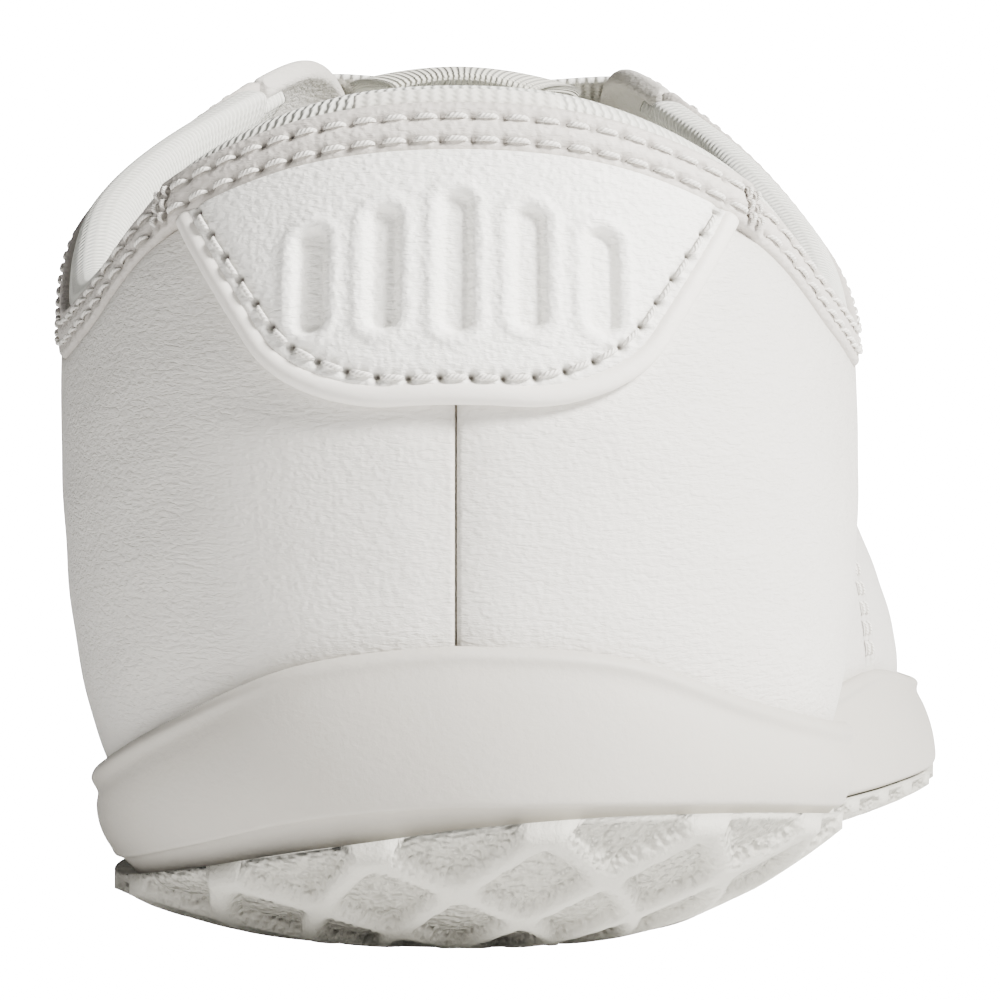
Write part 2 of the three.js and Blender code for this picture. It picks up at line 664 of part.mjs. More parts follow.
// The rolled cord of leather round the patch's sides and lower edge.
function patchPiping() {
  const sideRows = range(BINDING + 0.6, PATCH_BOTTOM, 10);
  const down = sideRows.map((h) => [h, -patchHalf(h)]);
  const floorRun = range(-0.7, 0.7, 6).map((u) => [PATCH_BOTTOM, u * patchHalf(PATCH_BOTTOM)]);
  const upward = [...down].reverse().map(([h, a]) => [h, -a]);
  const route = [...down, ...floorRun, ...upward];
  const offset = (i, out, lift) => {
    const [h0, a0] = route[Math.max(i - 1, 0)];
    const [h1, a1] = route[Math.min(i + 1, route.length - 1)];
    const perUnit = 168; // millimetres of heel for each unit of a
    const run = Math.hypot(h1 - h0, (a1 - a0) * perUnit);
    const [h, a] = route[i];
    return at(a - (out * (h1 - h0)) / run / perUnit, h + (out * (a1 - a0) * perUnit) / run, lift);
  };
  return sweep(route.map((_, i) => i), (i) => [
    offset(i, PIPING_GAP, -GAP - 1.5), offset(i, PIPING_GAP + PIPING, -GAP - 1.2),
    offset(i, PIPING_GAP + PIPING, -GAP), offset(i, PIPING_GAP, -GAP),
  ]);
}

addPiece('heel_patch_piping', patchPiping(), TRIM_GREY);

// A narrow woven tape at the back of the lining's roll.
function heelTape() {
  return sweep(stations(-0.045, 0.045), (a) => [
    at(a, -1.5, -0.5), at(a, -GAP, -0.8), at(a, -GAP, -0.5), at(a, -1.5, -0.2),
  ]);
}

addPiece('heel_tape', heelTape(), TEXTILE);

// ---------------------------------------------------------------- placing
// The origin is under the middle of the shoe's box, on the ground.
pieces.updateMatrixWorld(true);
const box = new THREE.Box3().setFromObject(pieces);
const middle = box.getCenter(new THREE.Vector3());
pieces.position.set(-middle.x, -middle.y, -box.min.z);

export default pieces;
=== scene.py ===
# %% [markdown]
# # A soft white training shoe, seen from behind
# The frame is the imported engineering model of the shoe. It fixes every size and place. The cells
# below lay the visible pieces over it: leather panels, rolled edges, stitches, knitted lining,
# woven laces and a patterned rubber sole. Lengths are worked out in millimetres from the heel,
# and become metres in the frame only when a mesh is written.

# %% Load the frame
import bmesh
import bpy
import numpy as np
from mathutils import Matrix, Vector


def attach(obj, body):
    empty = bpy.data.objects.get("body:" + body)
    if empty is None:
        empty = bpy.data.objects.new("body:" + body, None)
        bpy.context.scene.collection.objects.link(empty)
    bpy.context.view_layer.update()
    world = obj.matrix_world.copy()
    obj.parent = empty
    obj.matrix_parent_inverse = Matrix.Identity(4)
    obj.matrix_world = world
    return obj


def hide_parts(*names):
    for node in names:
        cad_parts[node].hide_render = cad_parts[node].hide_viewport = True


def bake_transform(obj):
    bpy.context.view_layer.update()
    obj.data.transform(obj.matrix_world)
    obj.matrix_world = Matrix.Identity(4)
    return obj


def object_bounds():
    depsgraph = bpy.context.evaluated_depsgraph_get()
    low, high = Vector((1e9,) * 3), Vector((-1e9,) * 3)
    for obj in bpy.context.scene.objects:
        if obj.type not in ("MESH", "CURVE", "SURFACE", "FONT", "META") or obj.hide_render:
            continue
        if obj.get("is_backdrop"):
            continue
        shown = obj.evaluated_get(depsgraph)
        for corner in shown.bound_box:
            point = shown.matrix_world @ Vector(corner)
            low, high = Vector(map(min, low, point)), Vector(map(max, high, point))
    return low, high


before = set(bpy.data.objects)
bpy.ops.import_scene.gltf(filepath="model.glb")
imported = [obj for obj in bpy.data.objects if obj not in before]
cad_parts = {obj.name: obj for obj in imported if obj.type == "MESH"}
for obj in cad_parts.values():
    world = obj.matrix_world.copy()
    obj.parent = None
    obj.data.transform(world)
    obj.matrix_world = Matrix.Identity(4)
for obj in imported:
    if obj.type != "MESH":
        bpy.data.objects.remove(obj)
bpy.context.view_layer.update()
MM = 0.001
HEEL = np.array([-7.55, -131.0, 0.0])

# %% [markdown]
# ## Camera
# The shoe is seen level and straight from behind, from close by, so the heel is large and the
# forefoot shows only as a narrow strip beside it. A long lens at about 27 cm does that.

# %% Camera
def make_camera(lens, beside, behind, height):
    """A level camera looking along +Y. Its place is given in millimetres from the heel."""
    data = bpy.data.cameras.new("studio_camera")
    data.lens = lens
    data.sensor_width = 36.0
    data.clip_start = 0.01
    data.clip_end = 20.0
    camera = bpy.data.objects.new("studio_camera", data)
    camera.location = (np.array([beside, -behind, height]) + HEEL) * MM
    camera.rotation_euler = (np.pi / 2, 0.0, 0.0)
    bpy.context.scene.collection.objects.link(camera)
    bpy.context.scene.camera = camera
    return camera

camera = make_camera(lens=124.0, beside=3.5, behind=272.0, height=38.0)
print("camera", tuple(round(v, 3) for v in camera.location))

# %% [markdown]
# ## The last
# A shoe is built round a last, a solid foot shape. Here the last is a formula. Position a runs
# round the sole's outline: 0 at the heel, 1 at the toe by the outer side, -1 at the toe by the
# inner side. Depth h runs down the surface from the top edge in millimetres, and d goes inwards
# from the outer face. Every panel is a patch of (a, h, d), so neighbours always fit each other.

# %% Stations from heel to toe
OUTLINE_OUTER = np.array([
    [0, -1], [13, 1.3], [24, 8.5], [31.5, 20], [34.5, 37], [34.5, 60], [36, 85], [41.5, 110],
    [50.5, 137], [58.5, 165], [61, 193], [57, 217], [45, 239], [23.5, 256], [-6, 263]])
OUTLINE_INNER = np.array([
    [0, -1], [-13, 1.3], [-24, 8.5], [-31, 20], [-33.5, 37], [-32.5, 60], [-31.5, 85], [-33, 110],
    [-37.5, 137], [-42.5, 165], [-45.5, 193], [-45, 217], [-40.5, 238], [-28, 256], [-6, 263]])
HEEL_EDGE = [[0, 6, 69.5], [12.5, 7.6, 68.2], [24, 13.5, 63.5], [31.5, 25, 56.7]]
THROAT_EDGE = [[14, 118, 80.5], [13.5, 135, 72.5], [12.5, 149, 65.5], [10.5, 157.5, 61],
               [7.5, 162, 58.8], [4, 164.3, 57.8], [0, 165, 57.5]]
COLLAR_OUTER = [[35.5, 41, 54.5], [34.8, 59, 62], [28, 80, 73.8], [17, 101, 84.5]]
COLLAR_INNER = [[36, 41, 55.5], [36.5, 59, 64.8], [30, 80, 75], [17.5, 101, 85.5]]
SECTION = np.array([
    [9, 13, 8, 24], [9, 13, 7, 22], [8.5, 13, 5, 19], [8, 12, 2.5, 16], [8, 12, 0.8, 15],
    [7.5, 13, 2, 15], [7, 15, 7, 14], [6.5, 18, 15, 10], [6, 20, 18, 9], [6, 22, 21, 8],
    [6, 22, 25, 8], [6, 22, 30, 8.5], [6, 21, 36, 9.5], [6.5, 20, 43, 11], [7, 19, 49, 11.5]])
WALL_TOP_OUTER = np.array([
    26.5, 25.6, 21.8, 19.4, 18.3, 16.8, 15.6, 15.8, 17.8, 15.6, 14.6, 15.2, 16.6, 17.6, 17.8])
WALL_TOP_INNER = np.array([
    26.5, 24.8, 20.1, 16.2, 14.6, 15.5, 18, 19.6, 18.6, 16.2, 14.6, 15, 16.4, 17.4, 17.8])
EDGE_OUTER = np.array([
    11.8, 11.8, 11.3, 10.2, 8.8, 6.5, 4.5, 3.2, 2.6, 2.4, 2.4, 2.6, 3, 3.4, 3.6])
EDGE_INNER = np.array([
    11.8, 10.4, 7.8, 5.8, 4.8, 4.2, 3.6, 3, 2.6, 2.4, 2.4, 2.6, 3, 3.4, 3.6])
EDGE_ROUNDING = np.array([22, 22, 22, 22, 22, 18, 13, 9.5, 7.5, 7, 7, 7.5, 9, 10, 11.0])
INTERVALS = 14
FLOOR = 9.5

def top_edge(collar, side):
    """One side of the top edge. The throat's foot lies 4 mm towards the outer side."""
    edge = np.array(HEEL_EDGE + collar + THROAT_EDGE) * [side, 1, 1]
    edge[:, 0] += 4 * np.clip((edge[:, 1] - 100) / 65, 0, 1)
    return edge

TOP_OUTER = top_edge(COLLAR_OUTER, 1)
TOP_INNER = top_edge(COLLAR_INNER, -1)

# %% Smooth curves through the stations
def smooth(low, high, x):
    """An S-shaped step from 0 at low to 1 at high: 3t^2 - 2t^3."""
    t = np.clip((np.asarray(x, float) - low) / (high - low), 0, 1)
    return t * t * (3 - 2 * t)

def through(p0, p1, p2, p3, t):
    """A cubic that runs from p1 to p2, with slopes taken from the points on either side."""
    linear = 0.5 * (p2 - p0)
    square = p0 - 2.5 * p1 + 2 * p2 - 0.5 * p3
    cube = 1.5 * (p1 - p2) + 0.5 * (p3 - p0)
    return p1 + t * (linear + t * (square + t * cube))

def around(outer, inner, a):
    """A closed curve up the outer stations and back down the inner ones."""
    points = np.vstack([outer, inner[-2:0:-1]])
    place = (np.asarray(a, float) * INTERVALS) % len(points)
    k = np.floor(place).astype(int)
    t = (place - k)[..., None]
    pick = [points[(k + i) % len(points)] for i in (-1, 0, 1, 2)]
    return through(*pick, t)

def signed(a):
    """Positions past the toe come back as negative ones."""
    return np.where(a > 1, a - 2, a)

def at_station(values, a):
    """One row of values at position a, the same on both sides."""
    place = np.clip(np.abs(signed(a)) * INTERVALS, 0, INTERVALS)
    k = np.minimum(np.floor(place).astype(int), INTERVALS - 1)
    t = (place - k)[..., None] if values.ndim > 1 else place - k
    pick = [values[np.clip(k + i, 0, INTERVALS)] for i in (-1, 0, 1, 2)]
    return through(*pick, t)

def by_side(outer, inner, a):
    """Values from the outer stations on one side and the inner stations on the other."""
    return np.where(signed(a) < 0, at_station(inner, a), at_station(outer, a))

def unit(v):
    """Vectors of length one in the same directions."""
    return v / np.maximum(np.linalg.norm(v, axis=-1, keepdims=True), 1e-12)

def spring(y):
    """The toe end of the sole lifts as a parabola."""
    return 7 * np.maximum((y - 205) / 60, 0) ** 2

def outline(a):
    """The widest line of the shoe seen from above, without height."""
    return around(OUTLINE_OUTER, OUTLINE_INNER, a)

def outward(a):
    """The outline's tangent turned a quarter turn, away from the foot."""
    along = outline(a + 1e-3) - outline(a - 1e-3)
    return unit(np.stack([along[..., 1], -along[..., 0]], -1))

# %% The last surface
CURVE_STEPS = 48

def section_points(a):
    """The four control points of the wall's section: foot, low bulge, high bulge, top edge."""
    edge = outline(a)
    out = outward(a)
    top = around(TOP_OUTER, TOP_INNER, a)
    tuck, rise, reach, drop = np.moveaxis(at_station(SECTION, a), -1, 0)
    foot = edge - out * tuck[..., None]
    swell = -2 + 4 * smooth(0, 0.25, np.abs(signed(a)))
    low = edge + out * swell[..., None]
    side = unit(edge - top[..., :2] + 20 * out)
    high = top[..., :2] + side * reach[..., None]
    lift = [FLOOR + spring(foot[..., 1]), rise + spring(low[..., 1]), top[..., 2] - drop]
    flat = [np.concatenate([p, z[..., None]], -1) for p, z in zip((foot, low, high), lift)]
    return flat + [top]

def bezier(c, t):
    """A cubic Bezier curve: the four control points weighted by powers of t and 1 - t."""
    s = 1 - t
    return s ** 3 * c[0] + 3 * t * s * s * c[1] + 3 * t * t * s * c[2] + t ** 3 * c[3]

def bezier_slope(c, t):
    """How fast the curve moves as t grows."""
    s = 1 - t
    return 3 * s * s * (c[1] - c[0]) + 6 * t * s * (c[2] - c[1]) + 3 * t * t * (c[3] - c[2])

def measured(a):
    """Points down every section and their running length from the top edge."""
    steps = np.linspace(1, 0, CURVE_STEPS + 1)[:, None, None]
    points = bezier(section_points(a), steps)
    runs = np.linalg.norm(np.diff(points, axis=0), axis=-1)
    return points, np.vstack([np.zeros(a.size), np.cumsum(runs, 0)])

def last(a, h, d=0.0):
    """The point at position a, depth h and depth d inwards. A negative h stands above the edge."""
    a, h, d = np.broadcast_arrays(*[np.asarray(v, float) for v in (a, h, d)])
    shape = a.shape
    a, h, d = a.ravel(), h.ravel(), d.ravel()
    _, lengths = measured(a)
    below = np.clip(h, 0, lengths[-1])
    k = np.clip((lengths <= below).sum(0) - 1, 0, CURVE_STEPS - 1)
    own = np.arange(a.size)
    gap = np.maximum(lengths[k + 1, own] - lengths[k, own], 1e-9)
    t = (1 - (k + (below - lengths[k, own]) / gap) / CURVE_STEPS)[:, None]
    c = section_points(a)
    ahead = bezier(section_points(a + 1e-3), t) - bezier(section_points(a - 1e-3), t)
    normal = unit(np.cross(ahead, bezier_slope(c, t)))
    up = unit(bezier_slope(c, t))
    point = bezier(c, t) - normal * d[:, None] + up * np.maximum(-h, 0)[:, None]
    return point.reshape(shape + (3,))

def depth_at(a, z):
    """The depth h at which the surface at position a has come down to height z."""
    a, z = np.broadcast_arrays(np.asarray(a, float), np.asarray(z, float))
    flat, level = a.ravel(), z.ravel()
    points, lengths = measured(flat)
    k = np.clip((points[..., 2] > level).sum(0), 1, CURVE_STEPS)
    own = np.arange(flat.size)
    high, low = points[k - 1, own, 2], points[k, own, 2]
    part = np.clip((high - level) / np.maximum(high - low, 1e-9), 0, 1)
    depth = lengths[k - 1, own] + part * (lengths[k, own] - lengths[k - 1, own])
    return depth.reshape(a.shape)

def floor_depth(a, above=0.2):
    """The depth h at which the surface meets the shoe's inner floor, or a little above it."""
    return depth_at(a, FLOOR + spring(outline(a)[..., 1]) + above)

print("back of the heel, 10 mm down", last(0.0, 10.0).round(1))

# %% [markdown]
# ## From points to meshes
# Almost every piece is a closed loop of points carried along a line: a leather strip, a cord, the
# lining, the sole wall. The loops are stacked into a grid, the grid is closed into a tube, and its
# two ends are closed by joining opposite points. Each vertex also keeps flat coordinates for
# weaves, given in millimetres and stored in centimetres, and an "edge" mark for wear and painted shade.

# %% Mesh builder
def grid_faces(rows, columns, close_rows, close_columns):
    """Quads between neighbouring grid points, numbered row by row."""
    i = np.arange(rows if close_rows else rows - 1)[:, None]
    j = np.arange(columns if close_columns else columns - 1)[None, :]
    i2, j2 = (i + 1) % rows, (j + 1) % columns
    corners = [i * columns + j, i2 * columns + j, i2 * columns + j2, i * columns + j2]
    return np.stack([c + 0 * i + 0 * j for c in corners], -1).reshape(-1, 4)

def cap_faces(columns, start, turned):
    """Closes a loop by pairing its points from both ends."""
    j = np.arange(columns // 2 - 1)
    quads = np.stack([j, j + 1, columns - 2 - j, columns - 1 - j], -1) + start
    return quads[:, ::-1] if turned else quads

def volume(points, faces):
    """Six times the volume inside the faces: the sum of triple products of their corners."""
    p = [points[faces[:, i]] for i in range(4)]
    fan = np.cross(p[0], p[1]) * p[2] + np.cross(p[0], p[2]) * p[3]
    return float(fan.sum())

def write_mesh(name, points, faces, flat=None, marks=None):
    """Puts points in millimetres and quads into a mesh in metres, with faces pointing outwards."""
    if volume(points, faces) < 0:
        faces = faces[:, ::-1]
    mesh = bpy.data.meshes.new(name)
    mesh.vertices.add(len(points))
    mesh.vertices.foreach_set("co", ((points + HEEL) * MM).astype(np.float32).ravel())
    mesh.loops.add(faces.size)
    mesh.loops.foreach_set("vertex_index", faces.astype(np.int32).ravel())
    mesh.polygons.add(len(faces))
    mesh.polygons.foreach_set("loop_start", (np.arange(len(faces)) * 4).astype(np.int32))
    mesh.update(calc_edges=True)
    mesh.validate()
    mesh.polygons.foreach_set("use_smooth", np.ones(len(mesh.polygons), bool))
    if flat is not None:
        used = np.zeros(len(mesh.loops), np.int32)
        mesh.loops.foreach_get("vertex_index", used)
        mesh.uv_layers.new(name="UVMap").data.foreach_set(
            "uv", (flat.reshape(-1, 2)[used] * 0.1).astype(np.float32).ravel())
    for key, values in (marks or {}).items():
        layer = mesh.attributes.new(key, "FLOAT", "POINT")
        layer.data.foreach_set("value", np.asarray(values, np.float32).ravel())
    return mesh

def add_piece(mesh, body="shoe", stands_for=(), finish=None):
    """Makes the mesh an object that rides on a body and stands for the named nodes."""
    piece = bpy.data.objects.new(mesh.name, mesh)
    bpy.context.scene.collection.objects.link(piece)
    if finish is not None:
        mesh.materials.append(finish)
    if body is not None:
        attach(piece, body)
    if stands_for:
        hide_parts(*stands_for)
    print(f"{mesh.name}: {len(mesh.polygons)} faces")
    return piece

def tube_mesh(name, loops, flat, marks=None):
    """A grid of closed loops as one closed body with a cap at both ends."""
    rows, columns = loops.shape[:2]
    faces = [grid_faces(rows, columns, False, True), cap_faces(columns, 0, False),
             cap_faces(columns, (rows - 1) * columns, True)]
    return write_mesh(name, loops.reshape(-1, 3), np.vstack(faces), flat, marks)

def run_length(points):
    """Running length along the first axis of a grid of points."""
    steps = np.linalg.norm(np.diff(points, axis=0), axis=-1)
    return np.concatenate([np.zeros((1,) + steps.shape[1:]), np.cumsum(steps, 0)])

# %% [markdown]
# ## Leather finish
# The upper is a soft coated leather: off-white, matt to satin, with fine wrinkles that run level
# round the heel and a small pebble between them. The grain is a node group, so every leather
# piece uses the same one with its own strength. Folded edges pick up a little grey from wear,
# and the seams, the pressed motif and the needle holes get painted shade.

# %% Node helpers
def new_group(name, inputs, outputs):
    """A shader node group with float inputs and the named outputs."""
    group = bpy.data.node_groups.new(name, "ShaderNodeTree")
    for label, value in inputs:
        socket = group.interface.new_socket(label, in_out="INPUT", socket_type="NodeSocketFloat")
        socket.default_value = value
    for label in outputs:
        group.interface.new_socket(label, in_out="OUTPUT", socket_type="NodeSocketFloat")
    return group, group.nodes.new("NodeGroupInput"), group.nodes.new("NodeGroupOutput")

def node(tree, kind, links=(), **settings):
    """A node with its settings, its plain input values and its links, given as (input, source)."""
    made = tree.nodes.new("ShaderNode" + kind)
    for key, value in settings.items():
        setattr(made, key, value)
    for key, source in links:
        if isinstance(source, bpy.types.NodeSocket):
            tree.links.new(source, made.inputs[key])
        else:
            made.inputs[key].default_value = source
    return made

def maths(tree, operation, *values):
    """The result of one sum or function of values and sockets."""
    links = [(i, v) for i, v in enumerate(values)]
    return node(tree, "Math", links, operation=operation).outputs[0]

def stretched(tree, scale):
    """Object coordinates in millimetres, stretched by three factors."""
    place = node(tree, "TexCoord").outputs["Object"]
    return node(tree, "Mapping", [("Vector", place), ("Scale", scale)]).outputs[0]

def noise(tree, vector, scale, detail=3.0, rough=0.55):
    """Soft random values from 0 to 1. The scale counts lumps in each unit of the vector."""
    return node(tree, "TexNoise", [("Vector", vector), ("Scale", scale), ("Detail", detail),
                                   ("Roughness", rough)]).outputs[0]

# %% Leather grain group
def make_grain():
    """Height is fine level wrinkles plus pebbles. Tone is a slow mottling of the coating."""
    group, given, out = new_group(
        "leather_grain", [("Wrinkle", 1.0), ("Pebble", 1.0)], ["Height", "Tone", "Gloss"])
    level = stretched(group, (420, 420, 1500))
    wrinkles = noise(group, level, 1.0, 4.0, 0.6)
    crease = maths(group, "ABSOLUTE", maths(group, "SUBTRACT", wrinkles, 0.5))
    crease = maths(group, "MULTIPLY", maths(group, "MINIMUM", crease, 0.12), 6.0)
    even = stretched(group, (1000, 1000, 1000))
    cells = node(group, "TexVoronoi", [("Vector", even), ("Scale", 1.9)],
                 feature="SMOOTH_F1").outputs["Distance"]
    raised = maths(group, "MULTIPLY", maths(group, "SUBTRACT", 0.7, cells), given.outputs["Pebble"])
    folds = maths(group, "MULTIPLY", crease, given.outputs["Wrinkle"])
    height = maths(group, "ADD", maths(group, "MULTIPLY", raised, 0.45), folds)
    slow = noise(group, even, 0.035, 3.0)
    blotch = noise(group, even, 0.45, 2.0)
    tone = maths(group, "MULTIPLY_ADD", blotch, 0.3, maths(group, "MULTIPLY", slow, 0.7))
    group.links.new(height, out.inputs["Height"])
    group.links.new(tone, out.inputs["Tone"])
    group.links.new(maths(group, "MULTIPLY_ADD", blotch, 0.5, 0.25), out.inputs["Gloss"])
    return group

grain = make_grain()

# %% Leather and thread materials
def colour(value):
    """A display colour of 0 to 255 values as the linear numbers that the shader takes."""
    c = np.array(value, float) / 255
    linear = np.where(c <= 0.04045, c / 12.92, ((c + 0.055) / 1.055) ** 2.4)
    return tuple(linear) + (1.0,)

def new_material(name):
    """A named material with its node tree and its surface shader."""
    made = bpy.data.materials.new(name)
    made.use_nodes = True
    return made, made.node_tree, made.node_tree.nodes["Principled BSDF"]

def blend_colour(tree, factor, first, second):
    """The first colour at factor 0 and the second at factor 1. Each may be a socket."""
    mix = node(tree, "Mix", data_type="RGBA")
    for socket, value in ((mix.inputs[0], factor), (mix.inputs[6], first), (mix.inputs[7], second)):
        if isinstance(value, bpy.types.NodeSocket):
            tree.links.new(value, socket)
        else:
            socket.default_value = value
    return mix.outputs[2]

def bump(tree, shader, height, distance):
    """Relief on the shader from a height of 0 to 1 that stands for distance millimetres."""
    made = node(tree, "Bump", [("Height", height), ("Distance", distance * MM)])
    tree.links.new(made.outputs[0], shader.inputs["Normal"])

# Painted shade: the dark colour laid into every needle hole.
NEEDLE_HOLE_SHADE = (84, 78, 70)

def leather(name, light, dark, grime_and_shade, wrinkle, pebble, depth, gloss):
    """Mottled between two tones, with grain as bump. Greyer where the edge mark says so: wear at
    folded edges, painted shade in the seam dents and pressed marks. Needle holes get painted shade.
    """
    made, tree, shader = new_material(name)
    fine = tree.nodes.new("ShaderNodeGroup")
    fine.node_tree = grain
    fine.inputs["Wrinkle"].default_value = wrinkle
    fine.inputs["Pebble"].default_value = pebble
    base = blend_colour(tree, fine.outputs["Tone"], colour(dark), colour(light))
    # Grey from the edge mark: wear at folded edges, painted shade in the seam dents and the pressed
    # motif.
    wear_and_shade_mark = node(tree, "Attribute", attribute_name="edge").outputs["Fac"]
    patchy = maths(tree, "MULTIPLY", wear_and_shade_mark, maths(tree, "ADD", fine.outputs["Tone"], 0.3))
    soiled_and_shaded = blend_colour(tree, patchy, base, colour(grime_and_shade))
    # Painted shade: a dark spot at every needle hole stands in for the hole's shadow.
    hole = node(tree, "Attribute", attribute_name="hole").outputs["Fac"]
    hole_shaded = blend_colour(tree, hole, soiled_and_shaded, colour(NEEDLE_HOLE_SHADE))
    tree.links.new(hole_shaded, shader.inputs["Base Color"])
    rough = maths(tree, "MULTIPLY_ADD", fine.outputs["Gloss"], 0.3, gloss)
    tree.links.new(rough, shader.inputs["Roughness"])
    bump(tree, shader, fine.outputs["Height"], depth)
    shader.inputs["Specular IOR Level"].default_value = 0.4
    shader.inputs["Sheen Weight"].default_value = 0.05
    return made

white_leather = leather("white_leather", (224, 221, 215), (210, 207, 201), (186, 182, 175),
                        wrinkle=0.4, pebble=1.3, depth=0.13, gloss=0.36)
border_leather = leather("border_leather", (240, 236, 229), (232, 228, 221), (196, 190, 182),
                         wrinkle=0.15, pebble=0.5, depth=0.07, gloss=0.4)
patch_leather = leather("patch_leather", (250, 249, 244), (242, 240, 235), (204, 201, 194),
                        wrinkle=0.3, pebble=1.3, depth=0.22, gloss=0.36)
trim_leather = leather("trim_leather", (212, 207, 200), (199, 193, 187), (182, 176, 169),
                       wrinkle=0.2, pebble=1.4, depth=0.22, gloss=0.38)

def make_thread():
    """Twisted thread: slanted bands along each stitch from its own flat coordinates."""
    made, tree, shader = new_material("thread")
    place = node(tree, "UVMap").outputs[0]
    twist = node(tree, "TexWave", [("Vector", place), ("Scale", 14.0), ("Distortion", 0.4)],
                 bands_direction="DIAGONAL")
    strand = twist.outputs["Fac"]
    tone = blend_colour(tree, strand, colour((214, 210, 203)), colour((240, 238, 232)))
    tree.links.new(tone, shader.inputs["Base Color"])
    tree.links.new(maths(tree, "MULTIPLY_ADD", strand, 0.15, 0.5), shader.inputs["Roughness"])
    bump(tree, shader, strand, 0.06)
    return made

thread = make_thread()
print("leather and thread are ready")

# %% [markdown]
# ## Leather panels and their seams
# A shoe panel is cut flat, its edges are skived and folded, and it is sewn over its neighbour. So
# each panel here is a thin closed strip with round edges, and its thickness falls back near every
# border by a quarter circle. Needle holes pull the leather down, so the surface dips at each one
# and a little between them, and a bowed thread lies from hole to hole.

# %% Folded edges
def rolled(distance, radius):
    """How far a folded edge falls back: a quarter circle that ends at the radius."""
    t = np.clip(1 - distance / radius, 0, 1)
    return radius * (1 - np.sqrt(1 - t * t))

def spacing(length, radius, step):
    """Distances from 0 to length, closer together where the edges are rolled."""
    turn = radius * (1 - np.cos(np.linspace(0, np.pi / 2, 5)))
    count = max(int(round((length - 2 * radius) / step)), 2)
    middle = np.linspace(radius, length - radius, count + 1)
    return np.concatenate([turn, middle[1:-1], length - turn[::-1]])

# %% Needle holes, dents and thread
PITCH = 2.5
sewn = []

def sew(a, h, d, pitch=PITCH, inset=0.6):
    """Needle holes at even steps along a line on the surface. The thread is kept for later."""
    a, h = [np.asarray(v, float) for v in np.broadcast_arrays(a, h)]
    run = run_length(last(a, h, d))
    count = max(int(round((run[-1] - 2 * inset) / pitch)), 1)
    marks = np.linspace(inset, run[-1] - inset, count + 1)
    holes = last(np.interp(marks, run, a), np.interp(marks, run, h), d)
    outer = last(np.interp(marks, run, a), np.interp(marks, run, h), np.asarray(d) - 1.0)
    sewn.append((holes, unit(outer - holes)))
    return holes

def nearest(points, places):
    """Squared distance from every point to the nearest of the places, a block at a time."""
    best = np.full(points.shape[:-1], np.inf)
    for block in np.array_split(np.arange(len(places)), max(len(places) // 24, 1)):
        gap = points[..., None, :] - places[block]
        np.minimum(best, (gap ** 2).sum(-1).min(-1), out=best)
    return best

def dents(points, rows):
    """Depth of the dips, and a mark on the holes: a narrow pit at every hole and a shallow
    channel between the holes, each falling off as a bell curve."""
    holes = np.vstack(rows)
    middles = np.vstack([0.5 * (row[1:] + row[:-1]) for row in rows])
    pit = nearest(points, holes)
    line = np.minimum(pit, nearest(points, middles))
    depth = 0.5 * np.exp(-pit / 0.36 ** 2) + 0.2 * np.exp(-line / 0.7 ** 2)
    return depth, np.exp(-pit / 0.30 ** 2)

def thread_mesh(rows, radius=0.19):
    """Every stitch is a short tube from hole to hole that bows up and dives at both ends."""
    start = np.vstack([holes[:-1] for holes, _ in rows])
    end = np.vstack([holes[1:] for holes, _ in rows])
    up = np.vstack([unit(n[:-1] + n[1:]) for _, n in rows])
    along = unit(end - start)
    side = unit(np.cross(up, along))
    up = np.cross(along, side)
    reach = np.linalg.norm(end - start, axis=-1)
    x = np.linspace(-1, 1, 9)
    angle = np.linspace(0, 2 * np.pi, 8, endpoint=False)
    bow = 0.14 - 0.45 * x ** 4
    thick = radius * np.sqrt(np.maximum(1 - 0.75 * np.abs(x) ** 5, 0.05))
    ring_up = bow[:, None] + thick[:, None] * np.sin(angle)
    ring_side = 1.15 * thick[:, None] * np.cos(angle)
    centre = 0.5 * (start + end)
    points = (centre[:, None, None] + along[:, None, None] * (
        0.38 * reach[:, None, None, None] * x[None, :, None, None])
        + up[:, None, None] * ring_up[None, :, :, None]
        + side[:, None, None] * ring_side[None, :, :, None])
    one = np.vstack([grid_faces(9, 8, False, True), cap_faces(8, 0, False), cap_faces(8, 64, True)])
    faces = (one[None] + (np.arange(len(start)) * 72)[:, None, None]).reshape(-1, 4)
    flat = np.zeros(points.shape[:-1] + (2,))
    flat[..., 0] = x[None, :, None] * 1.1
    flat[..., 1] = angle[None, None, :] * radius
    return write_mesh("stitching", points.reshape(-1, 3), faces, flat)

